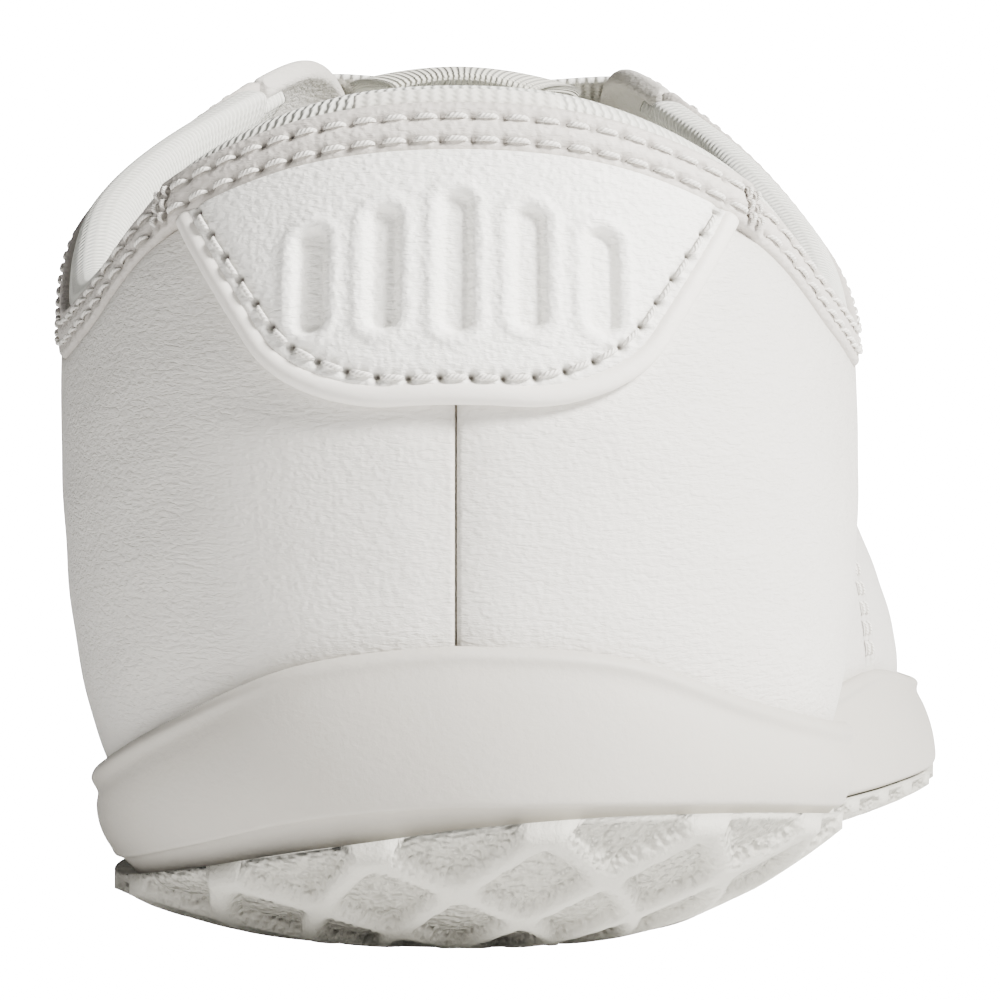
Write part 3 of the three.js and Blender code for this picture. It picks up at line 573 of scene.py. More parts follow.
# %% A panel of the upper
def panel(name, a1, a2, top, bottom, outer, inner, step=1.0, row_step=1.0, rows=(), swell=0.0,
          ripple=0.0, fold=None, valley=0.0):
    """A strip of the last between two positions and two depths, with all its edges rolled.

    The outer face lies at depth outer, raised by swell in its middle, and dips at the seams in
    rows and by valley towards its first end. The inner face lies at depth inner. Marks: edge is
    1 at the border and in the seams, and hole is 1 at every needle hole.
    """
    radius = 0.49 * (inner - outer) if fold is None else fold
    dense = np.linspace(a1, a2, 500)
    run = run_length(last(dense, 0.5 * (top(dense) + bottom(dense))))
    s = spacing(run[-1], radius, step)
    a = np.interp(s, run, dense)
    high, low = top(a)[:, None], bottom(a)[:, None]
    mean = float((low - high).mean())
    share = spacing(mean, radius, row_step) / mean
    h = high + share * (low - high)
    from_rows = np.minimum(h - high, low - h)
    from_ends = np.minimum(s, s[-1] - s)[:, None] + 0 * h
    fall = rolled(from_rows, radius) + rolled(from_ends, radius)
    border = np.minimum(from_rows, from_ends)
    crown = swell * (1 - np.exp(-border / 2.0))
    d_out = outer + np.minimum(fall, radius * 0.97) - crown
    d_in = inner - np.minimum(fall, radius * 0.97)
    d_out = d_out + valley * np.exp(-(s[:, None] / 2.4) ** 2)
    wide = a[:, None] + 0 * h
    if ripple:
        broad = np.sin(0.31 * s)[:, None] * np.sin(0.5 * h + 1.0)
        wave = broad + np.sin(0.83 * h + 0.17 * s[:, None])
        d_out = d_out + ripple * wave * (1 - np.exp(-border / 4.0))
    seam, hole = 0 * h, 0 * h
    if rows:
        seam, hole = dents(last(wide, h, d_out), rows)
        d_out = d_out + seam
    loops = np.concatenate([last(wide, h, d_out), last(wide, h, d_in)[:, ::-1]], 1)
    # The edge mark greys the leather: wear along the border, painted shade in the seam dents.
    mark = np.clip(0.8 * np.exp(-border / 0.8) + 0.8 * seam, 0, 1)
    marks = {"edge": np.concatenate([mark, mark[:, ::-1]], 1),
             "hole": np.concatenate([hole, 0 * hole], 1)}
    flat = np.stack([s[:, None] + 0 * h, h], -1)
    flats = np.concatenate([flat, flat[:, ::-1]], 1)
    return tube_mesh(name, loops, flats, marks)

# %% Driving positions of the panels
SEAM = 0.0003
BAND_HALF = 0.143
COLLAR_END = 0.47
VAMP_START = 13 / 22
HINGE = 11 / 22
THROAT_FOOT = 20 / 22 - 0.003
EYELETS = np.array([0.545, 0.604, 0.663, 0.722, 0.781])
EYELET_DEPTH = 6.5
FACING = 13.0
SIDES = (("outer", "lateral", 1), ("inner", "medial", -1))
constant = lambda value: (lambda a: value + 0 * np.asarray(a, float))

# %% [markdown]
# ## Quarters and vamp
# The quarters are the two side panels. They meet in a plain closed seam down the middle of the
# heel, and at the front they lap over the vamp, the toe panel, with a double row of stitches.
# They are made as strips that stand a little proud of the vamp, so the lap casts a real edge.

# %% Quarters
def quarter_top(a):
    """The panel starts under the collar's binding, and lower down under the eyestay."""
    return 4.15 + 9.1 * smooth(0.4655, 0.4735, np.abs(a))

for label, node_side, side in SIDES:
    seams = []
    for back in (0.0062, 0.0128):
        a_line = side * (VAMP_START - back) + np.zeros(200)
        low = float(floor_depth(np.array([a_line[0]]), 9.0)[0])
        seams.append(sew(a_line, np.linspace(14.2, low, 200), -0.3))
    mesh = panel(f"side_panel_{label}", side * SEAM, side * (VAMP_START + 0.001), quarter_top,
                 floor_depth, -0.15, 1.25, step=0.9, row_step=0.95, rows=seams, ripple=0.035,
                 fold=0.5, valley=0.4)
    add_piece(mesh, stands_for=[f"quarter_{node_side}"], finish=white_leather)

# %% Vamp
def vamp_top(a):
    """Under the eyestays at the sides, and level with the throat's edge in front of it."""
    return 13.2 - 12.9 * smooth(0.9030, 0.9105, np.abs(signed(a)))

mesh = panel("toe_panel", VAMP_START - 0.004, 2 - VAMP_START + 0.004, vamp_top, floor_depth,
             0.55, 1.6, step=1.6, row_step=1.3, ripple=0.03)
add_piece(mesh, stands_for=["vamp"], finish=white_leather)

# %% [markdown]
# ## Heel patch
# The patch is the shoe's signature piece: a padded trapezoid with round lower corners, a rolled
# border and a pressed motif. It is a dense patch of the surface, so that the press marks, the
# stitch channel and the soft crown are real shape. The motif is a plain row of upright bars,
# pressed in with soft shoulders as a heated stamp leaves them.

# %% Patch outline
PATCH_HALF = 0.1225
PATCH_BOTTOM = 23.2
PER_UNIT = 168.0

def patch_half(h, margin=0.0):
    """Half width as a position: it narrows evenly and ends in a round corner."""
    t = np.clip((h - 4) / (PATCH_BOTTOM - margin - 4), 0, 1)
    corner = np.maximum(t - 0.66, 0) / 0.34
    round_off = 0.040 * (1 - np.sqrt(np.maximum(1 - corner ** 2.2, 0)))
    return PATCH_HALF - 0.0585 * t - round_off - margin / PER_UNIT

def border_line(margin, count=160):
    """The patch's outline at a margin inside it: down one side, along the foot and up again."""
    low = PATCH_BOTTOM - margin
    h = 4.2 + (low - 4.2) * np.sin(np.linspace(0, np.pi / 2, count))
    side = patch_half(h, margin)
    foot = np.linspace(-side[-1], side[-1], 40)[1:-1]
    a = np.concatenate([-side, foot, side[::-1]])
    return a, np.concatenate([h, low + 0 * foot, h[::-1]])

# %% Pressed motif
def pressed(x, y):
    """Depth of the stamp in the leather: five upright bars with round ends, tallest in the middle."""
    depth = np.zeros_like(x)
    for place in range(-2, 3):
        tall = 4.6 - 0.75 * abs(place)
        lean = x - 5.1 * place
        up = np.maximum(np.abs(y - 0.25 * abs(place)) - tall, 0)
        gap = np.hypot(lean, up) - 1.05
        shoulder = 0.2 * np.exp(-((gap - 0.75) / 0.4) ** 2)
        depth = depth + 0.85 * smooth(0.3, -0.35, gap) - shoulder
    return depth

# %% Patch
def heel_patch():
    """Rows down the patch and columns across it, each as a share of the width at that depth."""
    rows = 4.05 + (PATCH_BOTTOM - 4.05) * np.sin(np.linspace(0, np.pi / 2, 150))
    across = np.sin(np.linspace(-np.pi / 2, np.pi / 2, 201))
    across = 0.45 * across + 0.55 * np.linspace(-1, 1, 201)
    h = rows[:, None] + 0 * across
    a = patch_half(h) * across
    seam = sew(*border_line(0.85), d=-1.35, inset=0.3)
    outline_a, outline_h = border_line(0.0)
    edge_points = np.stack([outline_a * PER_UNIT, outline_h], -1)
    here = np.stack([a * PER_UNIT, h], -1).reshape(-1, 2)
    parts = [np.sqrt(((block[:, None] - edge_points) ** 2).sum(-1).min(-1))
             for block in np.array_split(here, 12)]
    border = np.concatenate(parts).reshape(h.shape)
    crown = 0.3 * (1 - np.exp(-border / 3.5))
    d = -1.3 - crown + rolled(border, 0.5)
    dip, hole = dents(last(a, h, d), [seam])
    stamp = pressed(a * PER_UNIT, h - 13.2)
    d = d + 1.15 * dip + stamp
    outer = last(a, h, d)
    inner = last(a, h, -0.1)
    loops = np.concatenate([outer, inner[:, ::-1]], 1)
    # The edge mark: wear along the border, painted shade in the stitch channel and the pressed motif.
    mark = np.clip(0.6 * np.exp(-border / 0.7) + 0.8 * dip + 0.2 * stamp, 0, 1)
    flat = np.stack([a * PER_UNIT, h], -1)
    return tube_mesh("heel_patch_pad", loops, np.concatenate([flat, flat[:, ::-1]], 1),
                     {"edge": np.concatenate([mark, 0 * mark], 1),
                      "hole": np.concatenate([hole, 0 * hole], 1)})

add_piece(heel_patch(), stands_for=["heel_patch"], finish=patch_leather)

# %% Rolled border of the patch
def carried(name, centre, side, up, half_wide, half_thick, around_count=14, power=2.0):
    """A cord of oval section carried along a line: cosines to the side and sines upwards."""
    angle = np.linspace(0, 2 * np.pi, around_count, endpoint=False)
    c, s = np.cos(angle), np.sin(angle)
    c = np.sign(c) * np.abs(c) ** (2 / power)
    s = np.sign(s) * np.abs(s) ** (2 / power)
    loops = (centre[:, None] + side[:, None] * (half_wide[:, None] * c)[..., None]
             + up[:, None] * (half_thick[:, None] * s)[..., None])
    run = run_length(centre)
    flat = np.stack([run[:, None] + 0 * loops[..., 0], half_wide[:, None] * c], -1)
    return tube_mesh(name, loops, flat, {"edge": 0.15 + 0 * loops[..., 0]})

def rolled_border():
    """A soft piped edge round the patch. It stands off the side panels and hides the cut edge."""
    a, h = border_line(-0.38, 120)
    centre = last(a, h, -0.75)
    along = unit(np.gradient(centre, axis=0))
    up = unit(last(a, h, -1.75) - centre)
    side = unit(np.cross(along, up))
    wide = np.full(len(a), 0.92)
    return carried("heel_patch_border", centre, side, up, wide, 0.9 * wide)

add_piece(rolled_border(), stands_for=["heel_patch_piping"],
          finish=border_leather)

# %% [markdown]
# ## Heel band and collar bindings
# A stitched band crosses the heel above the patch, and narrower bindings run on round the collar
# to the top eyelets. Each is held by two rows of stitches, which leave a soft bead between them.
# The ends of the band are locked with a bartack, a few short stitches laid close together.

# %% Heel band
line = np.linspace(-BAND_HALF + 0.006, BAND_HALF - 0.006, 300)
band_seams = [sew(line, 1.15, -1.45), sew(line, 3.1, -1.45)]
for end in (-1, 1):
    for offset in (0.0035, 0.0080):
        tack = end * (BAND_HALF - offset) + np.zeros(40)
        band_seams.append(sew(tack, np.linspace(0.4, 3.9, 40), -1.5, pitch=1.1, inset=0.1))
mesh = panel("heel_band_strip", -BAND_HALF, BAND_HALF, constant(-0.35), constant(4.15), -1.35, 1.3,
             step=0.5, row_step=0.26, rows=band_seams, swell=0.3, fold=0.75)
add_piece(mesh, stands_for=["heel_band"], finish=trim_leather)

# %% Collar bindings
for label, node_side, side in SIDES:
    line = side * np.linspace(BAND_HALF + 0.004, COLLAR_END - 0.004, 400)
    seams = [sew(line, 1.1, -0.55), sew(line, 3.0, -0.55)]
    mesh = panel(f"collar_strip_{label}", side * (BAND_HALF - 0.004), side * COLLAR_END,
                 constant(-0.25), constant(4.3), -0.45, 1.3, step=0.55, row_step=0.3, rows=seams,
                 swell=0.25, fold=0.65)
    add_piece(mesh, stands_for=[f"collar_binding_{node_side}"],
              finish=trim_leather)

# %% [markdown]
# ## Eyestays and eyelets
# The eyestays are the two reinforced strips beside the throat. They carry five punched holes each
# and two rows of stitches. The holes are cut with a Boolean, because a true hole through the
# strip can't be drawn as a height on its grid, and each gets a thin pressed ring.

# %% Eyestays
def frames_at(a, h, d):
    """Centre, outward normal, and the two directions along the surface at chosen places."""
    centre = last(a, h, d)
    up = unit(last(a, h, d - 1) - centre)
    along = unit(last(a + 0.002, h, d) - centre)
    side = unit(np.cross(up, along))
    return centre, up, np.cross(side, up), side

def rings(name, a, radius, tube, d):
    """A torus round every eyelet: a small circle carried round a larger one."""
    centre, up, along, side = frames_at(a, np.full(len(a), EYELET_DEPTH), np.full(len(a), d))
    turn = np.linspace(0, 2 * np.pi, 28, endpoint=False)
    small = np.linspace(0, 2 * np.pi, 10, endpoint=False)
    direction = along[:, None] * np.cos(turn)[:, None] + side[:, None] * np.sin(turn)[:, None]
    grid = (centre[:, None, None] + direction[:, :, None] * (radius + tube * np.cos(small))[:, None]
            + up[:, None, None] * (0.7 * tube * np.sin(small))[:, None])
    one = grid_faces(28, 10, True, True)
    faces = (one[None] + (np.arange(len(a)) * 280)[:, None, None]).reshape(-1, 4)
    return write_mesh(name, grid.reshape(-1, 3), faces)

def punched(mesh, a, radius):
    """Cuts a round hole through the mesh at every eyelet and returns the cut mesh."""
    centre, up, along, side = frames_at(a, np.full(len(a), EYELET_DEPTH), np.full(len(a), 1.0))
    turn = np.linspace(0, 2 * np.pi, 28, endpoint=False)
    rim = radius * (along[:, None] * np.cos(turn)[:, None] + side[:, None] * np.sin(turn)[:, None])
    ends = up[:, None, None] * np.array([-5.0, 5.0])[:, None, None]
    loops = centre[:, None, None] + rim[:, None] + ends
    one = np.vstack([grid_faces(2, 28, False, True), cap_faces(28, 0, False),
                     cap_faces(28, 28, True)])
    faces = (one[None] + (np.arange(len(a)) * 56)[:, None, None]).reshape(-1, 4)
    pins = write_mesh("eyelet_punch", loops.reshape(-1, 3), faces)
    cutter = bpy.data.objects.new("eyelet_punch", pins)
    blank = bpy.data.objects.new(mesh.name, mesh)
    for made in (cutter, blank):
        bpy.context.scene.collection.objects.link(made)
    cut = blank.modifiers.new("punch", "BOOLEAN")
    cut.object = cutter
    cut.solver = "EXACT"
    result = bpy.data.meshes.new_from_object(
        blank.evaluated_get(bpy.context.evaluated_depsgraph_get()))
    result.name = mesh.name + "_cut"
    for made in (cutter, blank):
        bpy.data.objects.remove(made)
    return result

for label, node_side, side in SIDES:
    line = side * np.linspace(COLLAR_END + 0.010, THROAT_FOOT - 0.004, 500)
    seams = [sew(line, 1.7, -0.5), sew(line, FACING - 1.5, -0.5)]
    strip = panel(f"eyestay_strip_{label}", side * (COLLAR_END + 0.002), side * THROAT_FOOT,
                  constant(-0.2), constant(FACING + 0.2), -0.4, 2.0, step=0.8, row_step=0.6,
                  rows=seams, swell=0.2, fold=0.8)
    cut = punched(strip, side * EYELETS, 2.3)
    add_piece(cut, stands_for=[f"eyestay_{node_side}"], finish=white_leather)
    ring_mesh = rings(f"eyelet_rings_{label}", side * EYELETS, 2.35, 0.5, -0.5)
    add_piece(ring_mesh, finish=trim_leather)

# %% [markdown]
# ## Knitted lining, tongue and laces
# The lining is a ribbed knit pulled over a foam roll, so it is a padded shape: thick behind the
# heel and thin at the sides. Its form is known exactly from the foam beneath it, so it is worked
# out as a path round the foam, carried along the collar. The knit is a node group on the piece's
# own flat coordinates, so its ribs follow the collar.

# %% Knit group and textile materials
def make_knit():
    """Ribs across the strip and small loops along each rib, from flat coordinates in centimetres."""
    group, given, out = new_group("knit", [("Ribs", 60.0), ("Loops", 80.0)], ["Height", "Shade"])
    place = node(group, "SeparateXYZ", [("Vector", node(group, "UVMap").outputs[0])])
    across = maths(group, "MULTIPLY", place.outputs["X"], given.outputs["Ribs"])
    along = maths(group, "MULTIPLY", place.outputs["Y"], given.outputs["Loops"])
    rib = maths(group, "MULTIPLY_ADD", maths(group, "SINE", across), 0.5, 0.5)
    lean = maths(group, "MULTIPLY", maths(group, "COSINE", across), 1.5)
    loop = maths(group, "SINE", maths(group, "ADD", along, lean))
    loop = maths(group, "MULTIPLY_ADD", loop, 0.5, 0.5)
    height = maths(group, "MULTIPLY_ADD", loop, 0.35, rib)
    fuzz = noise(group, stretched(group, (1000, 1000, 1000)), 2.2, 3.0)
    height = maths(group, "MULTIPLY_ADD", fuzz, 0.3, height)
    shade = maths(group, "MULTIPLY", height, 0.62)
    group.links.new(height, out.inputs["Height"])
    group.links.new(shade, out.inputs["Shade"])
    return group

knit = make_knit()

def textile(name, light, dark, ribs, loops, depth, sheen):
    """Yarn: light on top of the ribs and darker between them, with the knit as relief."""
    made, tree, shader = new_material(name)
    fabric = tree.nodes.new("ShaderNodeGroup")
    fabric.node_tree = knit
    fabric.inputs["Ribs"].default_value = ribs
    fabric.inputs["Loops"].default_value = loops
    base = blend_colour(tree, fabric.outputs["Shade"], colour(dark), colour(light))
    tree.links.new(base, shader.inputs["Base Color"])
    tree.links.new(maths(tree, "MULTIPLY_ADD", fabric.outputs["Shade"], 0.15, 0.72),
                   shader.inputs["Roughness"])
    shader.inputs["Sheen Weight"].default_value = sheen
    bump(tree, shader, fabric.outputs["Height"], depth)
    return made

lining_knit = textile("lining_knit", (234, 234, 226), (202, 202, 194), 78.0, 90.0, 0.16, 0.2)
tongue_fabric = textile("tongue_fabric", (238, 236, 224), (204, 202, 188), 80.0, 80.0, 0.25, 0.2)
woven_lace = textile("woven_lace", (240, 239, 234), (198, 197, 191), 60.0, 90.0, 0.25, 0.1)
tape_weave = textile("tape_weave", (228, 225, 217), (206, 204, 195), 60.0, 130.0, 0.08, 0.1)

# %% Collar lining
FOAM_HEIGHT = 20.0
CLOTH = 0.7

def padding_depth(a, h):
    """Depth of the foam's inner face: full at the heel and thin towards the top eyelets."""
    full = 1 - 0.8 * smooth(0.36, COLLAR_END - 0.01, np.abs(a))
    bulge = np.sin(np.pi * np.clip((h + 2.5) / (FOAM_HEIGHT + 2.5), 0, 1)) ** 0.6
    return 2.6 + 4.3 * full * bulge

def lining_path(a, t):
    """The path (h, d) over the foam roll: up from behind the band, over, and down the inside.
    At both ends of the collar it tucks in under the eyestay."""
    inner = lambda h: np.maximum(padding_depth(a, np.array(h)) + 0.6, 3.2)
    deep = floor_depth(a, 0.5)
    knots_h = [-0.35, -1.6, -2.55, -2.3, -0.6, 2.5, 7.0, 12.0, 17.0, 21.0]
    knots_d = [1.05, 1.35, 2.5, inner(-1.6) - 0.5] + [inner(h) for h in knots_h[4:]]
    h = np.stack([k + 0 * a for k in knots_h] + [0.5 * (21 + deep), deep])
    d = np.stack([k + 0 * a for k in knots_d] + [3.3 + 0 * a, 3.3 + 0 * a])
    tuck = smooth(COLLAR_END - 0.016, COLLAR_END + 0.001, np.abs(a))
    below_edge = 1.2 + 0.25 * np.arange(len(h))[:, None]
    h = h + tuck * (np.maximum(h, below_edge) - h)
    d = d + tuck * (np.clip(d, 1.7, 2.4) - d) * (h < 12)
    count = len(h) - 1
    place = t * count
    k = np.minimum(np.floor(place).astype(int), count - 1)
    part = (place - k)[:, None]
    pick = [[v[np.clip(k + i, 0, count)] for i in (-1, 0, 1, 2)] for v in (h, d)]
    return [through(*p, part) for p in pick]

def collar_lining():
    """The lining's path at every position along the collar, thickened inwards by its own cloth."""
    dense = np.linspace(-COLLAR_END - 0.010, COLLAR_END + 0.010, 380)
    t = np.concatenate([np.linspace(0, 0.55, 34)[:-1], np.linspace(0.55, 1, 12)])
    h, d = [v.T for v in lining_path(dense, t)]
    dh, dd = np.gradient(h, axis=1), np.gradient(d, axis=1)
    run = np.hypot(dh, dd)
    inner_h, inner_d = h - CLOTH * dd / run, d + CLOTH * dh / run
    a = dense[:, None] + 0 * h
    face = last(a, h, d)
    loops = np.concatenate([last(a, inner_h, inner_d), face[:, ::-1]], 1)
    s = run_length(last(dense, 0.0 * dense))
    steps = np.hypot(np.diff(h, axis=1), np.diff(d, axis=1))
    v = np.concatenate([np.zeros((len(dense), 1)), np.cumsum(steps, 1)], 1)
    flat = np.stack([s[:, None] + 0 * h, v], -1)
    return tube_mesh("collar_lining_knit", loops, np.concatenate([flat, flat[:, ::-1]], 1))

lining = add_piece(collar_lining(), stands_for=["collar_lining", "collar_foam"],
                   finish=lining_knit)

# %% Vamp lining, heel tape
def lining_top(a):
    """Just below the top of the toe panel."""
    return vamp_top(a) + 0.3

mesh = panel("forefoot_lining", COLLAR_END - 0.002, 2 - COLLAR_END + 0.002, lining_top, floor_depth,
             3.2, 4.0, step=2.5, row_step=2.5)
add_piece(mesh, stands_for=["vamp_lining"], finish=lining_knit)

def heel_tape():
    """A narrow woven strip behind the roll: its section is a flat oval."""
    a = np.linspace(-0.047, 0.047, 60)
    centre = last(a, -0.95, -0.35)
    along = unit(np.gradient(centre, axis=0))
    side = unit(last(a, -2.0, -0.35) - centre)
    up = unit(np.cross(along, side))
    wide = np.full(len(a), 0.75)
    return carried("heel_tape_strip", centre, side, up, wide, wide / 3, 12, 3.0)

add_piece(heel_tape(), stands_for=["heel_tape"], finish=tape_weave)

# %% Tongue
TIP_LENGTH = 13.0

def tongue_rows(v, w, depth):
    """Points of the tongue. v runs from the tip (-1) over the fold (0) to its foot (1); w runs
    across from -1 to 1; depth goes from the outer face inwards."""
    a = HINGE + np.clip(v, 0, 1) * (THROAT_FOOT - HINGE)
    wing = 11.0 * smooth(0.03, 0.22, v) - 2 * smooth(0.65, 1.0, v)
    narrow = 0.80 + 0.20 * smooth(0.02, 0.16, v)
    left, right = last(-a, 0 * a, depth), last(a, 0 * a, depth)
    centre = 0.5 * (left + right)
    half = 0.5 * (right - left) * narrow[..., None]
    inside = np.clip(np.abs(w) / 0.62, 0, 1)
    crown = 2.2 * (1 - inside ** 2)
    flat = centre + half * (np.sign(w) * inside)[..., None]
    flat[..., 2] += crown
    under = np.clip((np.abs(w) - 0.62) / 0.38, 0, 1) * wing
    side = last(np.sign(w) * a, under, depth)
    edge = last(np.sign(w) * a, 0 * under, depth)
    return flat + (side - edge) * (np.abs(w) > 0.62)[..., None]

def tongue_piece():
    """A padded flap. Its thickness falls to nothing at the sides and at the tip by an oval."""
    v = np.concatenate([-1 + 0.25 * (1 - np.cos(np.linspace(0, np.pi / 2, 10))),
                        np.linspace(-0.75, 0.06, 26)[1:], np.linspace(0.06, 1, 60)[1:]])
    w = np.sin(np.linspace(-np.pi / 2, np.pi / 2, 49))
    v2, w2 = np.meshgrid(v, w, indexing="ij")
    edge = np.sqrt(np.clip(1 - np.abs(w2) ** 5, 0, 1))
    beyond = np.clip(-v2, 0, 1)
    tip = np.sqrt(np.clip(1 - np.clip((beyond - 0.82) / 0.18, 0, 1) ** 2, 0, 1))
    tip_width = 1 - 0.16 * beyond ** 2 - 0.20 * np.clip((beyond - 0.55) / 0.45, 0, 1) ** 3
    puff = 0.5 + 0.5 * np.cos(np.pi * np.clip(w2 * 1.1, -1, 1) * 2) * 0.25
    half = 1.75 * edge * tip + 0.05
    faces = []
    for sign in (-1, 1):
        depth = 4.8 + sign * half - (0.35 * puff if sign < 0 else 0)
        p = tongue_rows(v2, w2, depth)
        middle = tongue_rows(v2, 0 * w2, 4.8 + 0 * depth)
        back = beyond[..., None]
        shrunk = middle + (p - middle) * np.stack([tip_width, 1 + 0 * tip_width, 1 - 0.35 * beyond], -1)
        shrunk[..., 1] -= TIP_LENGTH * beyond * (0.93 + 0.07 * (1 - w2 ** 2))
        shrunk[..., 2] -= 1.0 * beyond
        faces.append(np.where(back > 0, shrunk, p))
    loops = np.concatenate([faces[0], faces[1][:, ::-1]], 1)
    flat = np.stack([w2 * 17, v2 * 60], -1)
    return tube_mesh("tongue_pad", loops, np.concatenate([flat, flat[:, ::-1]], 1))

tongue = add_piece(tongue_piece(), body=None, stands_for=["tongue", "tongue_tip"],
                   finish=tongue_fabric)
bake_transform(tongue)

# %% Laces
def lace_bar(a, number):
    """A flat woven lace: up through one eyelet, over the throat and down through the other."""
    def side(s):
        return [last(s * a, EYELET_DEPTH, 2.2), last(s * a, EYELET_DEPTH - 0.1, 0.3),
                last(s * a, EYELET_DEPTH - 1.0, -1.15), last(s * a, EYELET_DEPTH - 3.4, -1.35),
                last(s * a, 0.6, -1.3)]
    middle = 0.5 * (side(-1)[4] + side(1)[4]) - [0, 0, 0.9]
    knots = np.array(side(-1) + [middle] + side(1)[::-1])
    count = len(knots) - 1
    place = np.linspace(0, count, 90)
    k = np.minimum(place.astype(int), count - 1)
    pick = [knots[np.clip(k + i, 0, count)] for i in (-1, 0, 1, 2)]
    centre = through(*pick, (place - k)[:, None])
    along = unit(np.gradient(centre, axis=0))
    before, after = [around(TOP_OUTER, TOP_INNER, np.array(a + step)) for step in (-0.01, 0.01)]
    ahead = after - before
    ahead[0] = 0.0
    up = unit(np.cross(along, -ahead))
    up = up * np.sign(up[len(up) // 2, 2])
    side_way = unit(np.cross(up, along))
    from_end = np.minimum(place, count - place)
    wide = 1.5 + 1.5 * smooth(1.0, 2.8, from_end)
    thick = 0.75 - 0.17 * smooth(1.0, 2.8, from_end)
    return carried(f"lace_strap_{number}", centre, side_way, up, wide, thick, 20, 3.2)

for number, a in enumerate(EYELETS, 1):
    add_piece(lace_bar(a, number), stands_for=[f"lace_bar_{number}"], finish=woven_lace)

# %% [markdown]
# ## Sole
# The sole is a moulded rubber cup glued round the upper, with a wavy top line that rises high at
# the heel, and a tread that rounds up at the heel like a bowl. Ribs cross the tread in a lattice
# of X shapes, and the cells between them are sunk and pebbled. All of it is a profile carried
# round the outline, closed along a spine under the middle of the foot.

# %% Positions round the outline
CELL = 14.6
CELL_RISE = 12.6

def foot_inset(a):
    """How far the wall's foot and the tread's edge lie inside the outline: more on the inner side."""
    turn = np.tanh(signed(a) / 0.06) * (1 - smooth(0.8, 1.0, np.abs(signed(a))))
    return 1.2 - 1.2 * turn

def even_positions(step):
    """Positions at even steps of outline length from heel to toe, the same on both sides, with
    the running length of each side stretched to a whole number of lattice cells."""
    dense = np.linspace(0, 1, 2000)
    run = run_length(outline(dense))
    count = int(round(run[-1] / step))
    a = np.interp(np.linspace(0, run[-1], count + 1), run, dense)
    ring = np.concatenate([a, -a[-2:0:-1]])
    s = np.linspace(0, round(run[-1] / CELL) * CELL, count + 1)
    return ring, np.concatenate([s, -s[-2:0:-1]])

def edge_height(a):
    """How high the tread's rounded edge ends on the wall."""
    return by_side(EDGE_OUTER, EDGE_INNER, a)

def underside(a, e, lift):
    """A point e in from the outline: a parabola down to the flat middle, plus the lift."""
    p = outline(a) - outward(a) * e[..., None]
    inner = np.maximum(1 - e / at_station(EDGE_ROUNDING, a), 0)
    z = edge_height(a) * inner ** 2 + spring(p[..., 1]) + lift(1 - inner)
    return np.concatenate([p, z[..., None]], -1)

def to_spine(points, share):
    """Moves from each ring point towards the point midway to its partner on the other side."""
    partner = np.roll(points[::-1], 1, axis=0)
    spine = 0.5 * (points + partner)
    return points + (spine - points) * share

def closed_ring(name, rows, flat, marks=None):
    """Rows of rings from one spine out to the edge and back to the spine on the other face."""
    grid = np.stack(rows, 1)
    faces = grid_faces(grid.shape[0], grid.shape[1], True, False)
    return write_mesh(name, grid.reshape(-1, 3), faces, flat, marks)

def welded(mesh, distance=0.02 * MM):
    """Merges doubled points along the spine, so the surface is closed there."""
    work = bmesh.new()
    work.from_mesh(mesh)
    bmesh.ops.remove_doubles(work, verts=work.verts, dist=distance)
    work.to_mesh(mesh)
    work.free()
    return mesh

# %% Rubber materials
# Dust colour, laid with painted shade into the sunk tread cells.
DUST_AND_SHADE = (150, 148, 138)

def rubber(name, light, dark, depth, scale, gloss):
    """Moulded rubber: a fine stipple, a slow tone, and a dust colour with painted shade where the
    sunk mark says so, darkest in the crevices between the pebbles.
    """
    made, tree, shader = new_material(name)
    even = stretched(tree, (1000, 1000, 1000))
    stipple = noise(tree, even, scale, 3.0, 0.6)
    slow = noise(tree, even, 0.06, 3.0)
    cells = node(tree, "TexVoronoi", [("Vector", even), ("Scale", 1.7)], feature="SMOOTH_F1")
    pebble = maths(tree, "SUBTRACT", 0.75, cells.outputs["Distance"])
    sunk = node(tree, "Attribute", attribute_name="sunk").outputs["Fac"]
    height = maths(tree, "MULTIPLY_ADD", maths(tree, "MULTIPLY", pebble, sunk), 4.0,
                   maths(tree, "MULTIPLY", stipple, 0.5))
    base = blend_colour(tree, slow, colour(dark), colour(light))
    # Dust and painted shade in the sunk cells, deepest in the crevices between the pebbles.
    grime_and_shade = maths(tree, "MULTIPLY", maths(tree, "MULTIPLY", cells.outputs["Distance"], sunk), 0.7)
    tree.links.new(blend_colour(tree, grime_and_shade, base, colour(DUST_AND_SHADE)), shader.inputs["Base Color"])
    tree.links.new(maths(tree, "MULTIPLY_ADD", stipple, 0.2, gloss), shader.inputs["Roughness"])
    bump(tree, shader, height, depth)
    shader.inputs["Specular IOR Level"].default_value = 0.35
    return made

wall_rubber = rubber("wall_rubber", (191, 187, 179), (181, 177, 169), 0.10, 1.6, 0.48)
tread_rubber = rubber("tread_rubber", (200, 198, 189), (188, 186, 177), 0.24, 2.5, 0.52)

